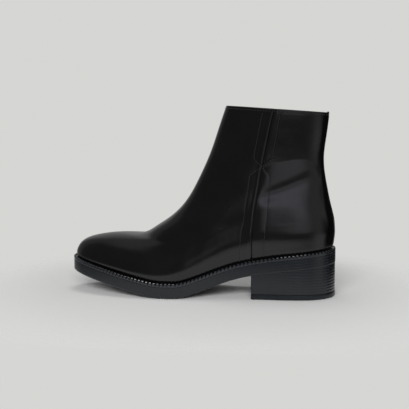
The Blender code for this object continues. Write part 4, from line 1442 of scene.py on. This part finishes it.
class Look(NodeTree):
    """A material with its main shader. Its patterns lie in object coordinates, in metres."""

    def __init__(self, name):
        self.material = bpy.data.materials.new(name)
        self.material.use_nodes = True
        super().__init__(self.material.node_tree)
        self.shader = self.tree.nodes["Principled BSDF"]
        self.place = self.node("ShaderNodeTexCoord").outputs["Object"]

    def set(self, **values):
        """Links or sets the shader's inputs."""
        self.fill(self.shader, **values)

    def paint(self, pattern, finish, span=NOISE_SPAN):
        """Colour and roughness that follow a pattern."""
        rough = self.span(pattern, *span, finish.smooth, finish.rough)
        self.set(Base_Color=self.mix_colour(pattern, finish.dark, finish.light), Roughness=rough)

    def noise(self, size, detail=2.0, roughness=0.5, place=None):
        """Noise whose lumps are about size millimetres wide."""
        made = self.node("ShaderNodeTexNoise")
        self.fill(made, Scale=1.0 / (size * MM), Detail=detail, Roughness=roughness)
        self.fill(made, Vector=self.place if place is None else place)
        return made.outputs["Fac"]

    def cells(self, size):
        """Cells about size millimetres wide: distance to their edges."""
        made = self.node("ShaderNodeTexVoronoi", feature="DISTANCE_TO_EDGE")
        self.fill(made, Vector=self.place, Scale=1.0 / (size * MM))
        return made.outputs["Distance"]

    def waves(self, direction, scale):
        """Bands across a direction: X, Z or DIAGONAL."""
        made = self.node("ShaderNodeTexWave", bands_direction=direction)
        self.fill(made, Vector=self.place, Scale=scale)
        return made.outputs["Fac"]

    def bump(self, height, depth, under=None):
        """Bump whose height of 1 stands for depth millimetres."""
        made = self.node("ShaderNodeBump")
        self.fill(made, Strength=1.0, Distance=depth * MM, Height=height)
        if under is not None:
            self.fill(made, Normal=under)
        return made.outputs["Normal"]


def leather_material():
    """Smooth black calf leather: fine pebble grain, a gentle unevenness, and a thin polish."""
    look = Look("calf_leather")
    mottle = look.noise(size=24.0, detail=3.0)
    cloud = look.noise(size=9.0, detail=4.0)
    polished = look.span(cloud, *NOISE_SPAN, CALF_FINISH.smooth, CALF_FINISH.rough)
    edge = look.node("ShaderNodeAttribute", attribute_name=EDGE_SHARE).outputs["Fac"]
    matt = look.math("MULTIPLY", edge, EDGE_MATTNESS)
    uneven = look.bump(look.noise(size=15.0, detail=3.0), depth=0.24)
    pebble = look.span(look.cells(size=0.6), 0.0, 0.25)
    grain = look.bump(pebble, depth=0.004, under=uneven)
    pores = look.bump(look.noise(size=0.35), depth=0.006, under=grain)
    look.set(Base_Color=look.mix_colour(mottle, CALF_FINISH.dark, CALF_FINISH.light))
    look.set(Roughness=look.math("ADD", polished, matt), Normal=pores)
    look.set(Coat_Weight=0.2, Coat_Roughness=0.08, IOR=1.5)
    return look.material


def hole_shade_material():
    """Painted shade in a needle hole: a matt, dark dot that reflects little."""
    look = Look("needle_hole_shade")
    fibre = look.noise(size=0.6, detail=3.0)
    look.paint(fibre, HOLE_SHADE_FINISH)
    look.set(Normal=look.bump(fibre, depth=0.03), Specular_IOR_Level=0.25)
    return look.material


def lining_material():
    """Matt black lining leather with a soft nap."""
    look = Look("matt_lining")
    look.paint(look.noise(size=6.0, detail=4.0), LINING_FINISH)
    look.set(Normal=look.bump(look.noise(size=0.5, detail=3.0), depth=0.05))
    return look.material


def insole_material():
    """Insole sock: matt leather with larger pores than the lining."""
    look = Look("insole_sock")
    look.paint(look.noise(size=14.0, detail=4.0), INSOLE_FINISH)
    look.set(Normal=look.bump(look.span(look.cells(size=1.1), 0.0, 0.3), depth=0.05))
    return look.material


def thread_material():
    """Waxed black thread with its twist, coloured dark grey: a painted sheen that stands in for the black
    thread's highlights.
    """
    look = Look("thread_with_painted_sheen")
    twist = look.waves("DIAGONAL", THREAD_TWIST)
    look.paint(twist, THREAD_SHEEN_FINISH, span=(0.0, 1.0))
    look.set(Normal=look.bump(twist, depth=0.03))
    return look.material


def new_rubber(name, finish, skin_depth):
    """A look of rubber, slightly cloudy, and the bump of its fine matt skin."""
    look = Look(name)
    look.paint(look.noise(size=5.0, detail=5.0, roughness=0.6), finish)
    return look, look.bump(look.noise(size=0.3), skin_depth)


def rubber_material(name, finish, coat=0.0):
    """Moulded black rubber with gentle waves."""
    look, skin = new_rubber(name, finish, skin_depth=0.012)
    waves = look.noise(size=7.0, detail=1.0)
    look.set(Normal=look.bump(waves, depth=0.05, under=skin), Coat_Weight=coat, Coat_Roughness=0.1)
    return look.material


def tread_material():
    """The outsole's rubber, with fine cross ribs moulded into its underside."""
    look, skin = new_rubber("tread_rubber", SOLE_FINISH, skin_depth=0.003)
    normal = look.node("ShaderNodeNewGeometry").outputs["True Normal"]
    underside = look.span(look.axes(normal)["Z"], *UNDERSIDE)
    ribs = look.math("MULTIPLY", look.waves("X", TREAD_RIBS), underside)
    look.set(Normal=look.bump(ribs, depth=0.6, under=skin), **SOLE_POLISH)
    return look.material


def heel_material():
    """Stacked heel: polished edge with fine level streaks of its layers."""
    look = Look("stacked_heel")
    stretched = look.node("ShaderNodeMapping")
    look.fill(stretched, Vector=look.place, Scale=STREAK_STRETCH)
    streaks = look.noise(size=0.9, detail=4.0, roughness=0.6, place=stretched.outputs["Vector"])
    look.paint(streaks, SOLE_FINISH)
    look.set(Normal=look.bump(streaks, depth=0.004), **SOLE_POLISH)
    return look.material


def tape_material():
    """Woven zip tape: fine herringbone ribs."""
    look = Look("woven_tape")
    weave = look.math("MULTIPLY", look.waves("Z", TAPE_WEAVE), look.waves("X", TAPE_WEAVE))
    look.set(Base_Color=look.mix_colour(weave, TAPE_FINISH.dark, TAPE_FINISH.light))
    look.set(Normal=look.bump(weave, depth=0.12), Roughness=TAPE_FINISH.rough, Sheen_Weight=0.2)
    return look.material


def metal_material():
    """Black enamelled zip metal with worn, slightly brighter spots."""
    look = Look("black_enamel")
    look.paint(look.noise(size=2.2, detail=5.0, roughness=0.65), METAL_FINISH)
    look.set(Normal=look.bump(look.noise(size=0.5), depth=0.01), Metallic=0.55)
    return look.material


def dress_nodes(materials):
    """New materials for the CAD nodes that stay."""
    for name, material in materials.items():
        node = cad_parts[name]
        if not node.material_slots:
            node.data.materials.append(material)
        for slot in node.material_slots:
            slot.material = material


# Studio


def floor_material():
    """Pale matt floor that fades into the backdrop at its rim."""
    look = Look("pale_floor")
    distance = look.node("ShaderNodeVectorMath", operation="LENGTH")
    look.put(distance.inputs[0], look.place)
    far = look.span(distance.outputs["Value"], *FLOOR_RIM, 1.0, 0.0)
    before = look.span(look.axes(look.place)["Y"], *FLOOR_FRONT)
    look.set(Base_Color=FLOOR_COLOUR, Roughness=0.9, Specular_IOR_Level=0.1)
    look.set(Alpha=look.math("MULTIPLY", far, before))
    return look.material


def make_floor():
    """A thin disc under the boot."""
    mesh = bpy.data.meshes.new("floor")
    shape = bmesh.new()
    bmesh.ops.create_circle(shape, cap_ends=True, segments=FLOOR_SEGMENTS, radius=FLOOR_RADIUS)
    shape.to_mesh(mesh)
    shape.free()
    mesh.materials.append(floor_material())
    floor = new_object("floor", mesh)
    floor.location.z = -FLOOR_DROP


def make_world():
    """A pale backdrop for the camera and an even fill. Glossy surfaces reflect bright and dim zones."""
    world = bpy.data.worlds.new("studio")
    world.use_nodes = True
    bpy.context.scene.world = world
    nodes = NodeTree(world.node_tree)
    seen = world.node_tree.nodes["Background"]
    seen.inputs["Color"].default_value = (*BACKDROP, 1.0)
    around = nodes.node("ShaderNodeBackground")
    direction = nodes.axes(nodes.node("ShaderNodeTexCoord").outputs["Generated"])
    ahead = nodes.math("MULTIPLY", direction["Y"], -1.0)
    bearing = nodes.math("DEGREES", nodes.math("ARCTAN2", direction["X"], ahead))
    elevation = nodes.math("DEGREES", nodes.math("ARCSINE", direction["Z"]))
    colour = SURROUND
    for zone in ZONES:
        share = 1.0
        for value, (low, high), soft in (
            (bearing, zone.bearing, zone.soft[0]),
            (elevation, zone.elevation, zone.soft[1]),
        ):
            rise = nodes.span(value, low - soft / 2, low + soft / 2)
            fall = nodes.span(value, high - soft / 2, high + soft / 2, 1.0, 0.0)
            share = nodes.math("MULTIPLY", share, nodes.math("MULTIPLY", rise, fall))
        colour = nodes.mix_colour(share, colour, zone.colour)
    nodes.put(around.inputs["Color"], colour)
    fill = nodes.node("ShaderNodeBackground")
    fill.inputs["Color"].default_value = (*FILL, 1.0)
    path = nodes.node("ShaderNodeLightPath")
    surface = around.outputs[0]
    for ray, background in (("Is Diffuse Ray", fill), ("Is Camera Ray", seen)):
        either = nodes.node("ShaderNodeMixShader")
        nodes.put(either.inputs["Fac"], path.outputs[ray])
        nodes.put(either.inputs[1], surface)
        nodes.put(either.inputs[2], background.outputs[0])
        surface = either.outputs[0]
    nodes.put(world.node_tree.nodes["World Output"].inputs["Surface"], surface)


def make_lights():
    """Soft panels that shine on the boot and aren't seen themselves."""
    for panel in PANELS:
        light = bpy.data.lights.new(panel.name, "AREA")
        light.shape = "RECTANGLE"
        light.size, light.size_y = panel.size
        light.energy = panel.power
        lamp = new_object(panel.name, light)
        lamp.location = panel.place
        lamp.rotation_euler = (-Vector(panel.place)).to_track_quat("-Z", "Y").to_euler()
        lamp.visible_camera = False
        lamp.visible_glossy = panel.in_gloss


def make_camera():
    data = bpy.data.cameras.new("camera")
    data.sensor_width = SENSOR_WIDTH
    data.lens = CAMERA_LENS
    camera = new_object("camera", data)
    camera.location = CAMERA_PLACE
    camera.rotation_euler = (math.radians(90.0 - CAMERA_DOWN), 0.0, math.radians(CAMERA_PAN))
    bpy.context.scene.camera = camera


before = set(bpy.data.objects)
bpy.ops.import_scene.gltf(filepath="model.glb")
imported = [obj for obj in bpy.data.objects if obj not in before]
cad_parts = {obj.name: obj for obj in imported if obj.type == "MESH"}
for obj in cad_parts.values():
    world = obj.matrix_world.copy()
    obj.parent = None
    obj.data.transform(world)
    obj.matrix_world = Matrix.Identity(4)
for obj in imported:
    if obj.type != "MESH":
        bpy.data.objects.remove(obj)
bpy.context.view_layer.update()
calf = leather_material()
lining = lining_material()
# Thread coloured dark grey: painted sheen for the black thread's highlights.
thread = thread_material()
# Dark matt dots for the needle holes: painted shade.
needle_hole_shade = hole_shade_material()
metal = metal_material()
tape = tape_material()
leather_grid = make_leather(calf)
make_lining(lining)
make_side_stitches(thread, needle_hole_shade)
make_zip_stitches(thread, needle_hole_shade)
make_collar_stitches(leather_grid, thread)
make_back_stitches(thread)
make_welt(rubber_material("welt_rubber", WELT_FINISH, coat=1.0))
make_outsole(tread_material())
make_heel_block(heel_material())
make_top_piece(rubber_material("top_piece", TOP_PIECE_FINISH))
make_zip_teeth(metal)
make_slider(metal)
make_tab(metal)
dress_nodes({"insole": insole_material(), "zip_tape_front": tape, "zip_tape_back": tape})
make_floor()
make_world()
make_lights()
make_camera()
bpy.context.scene.view_settings.view_transform = "Standard"
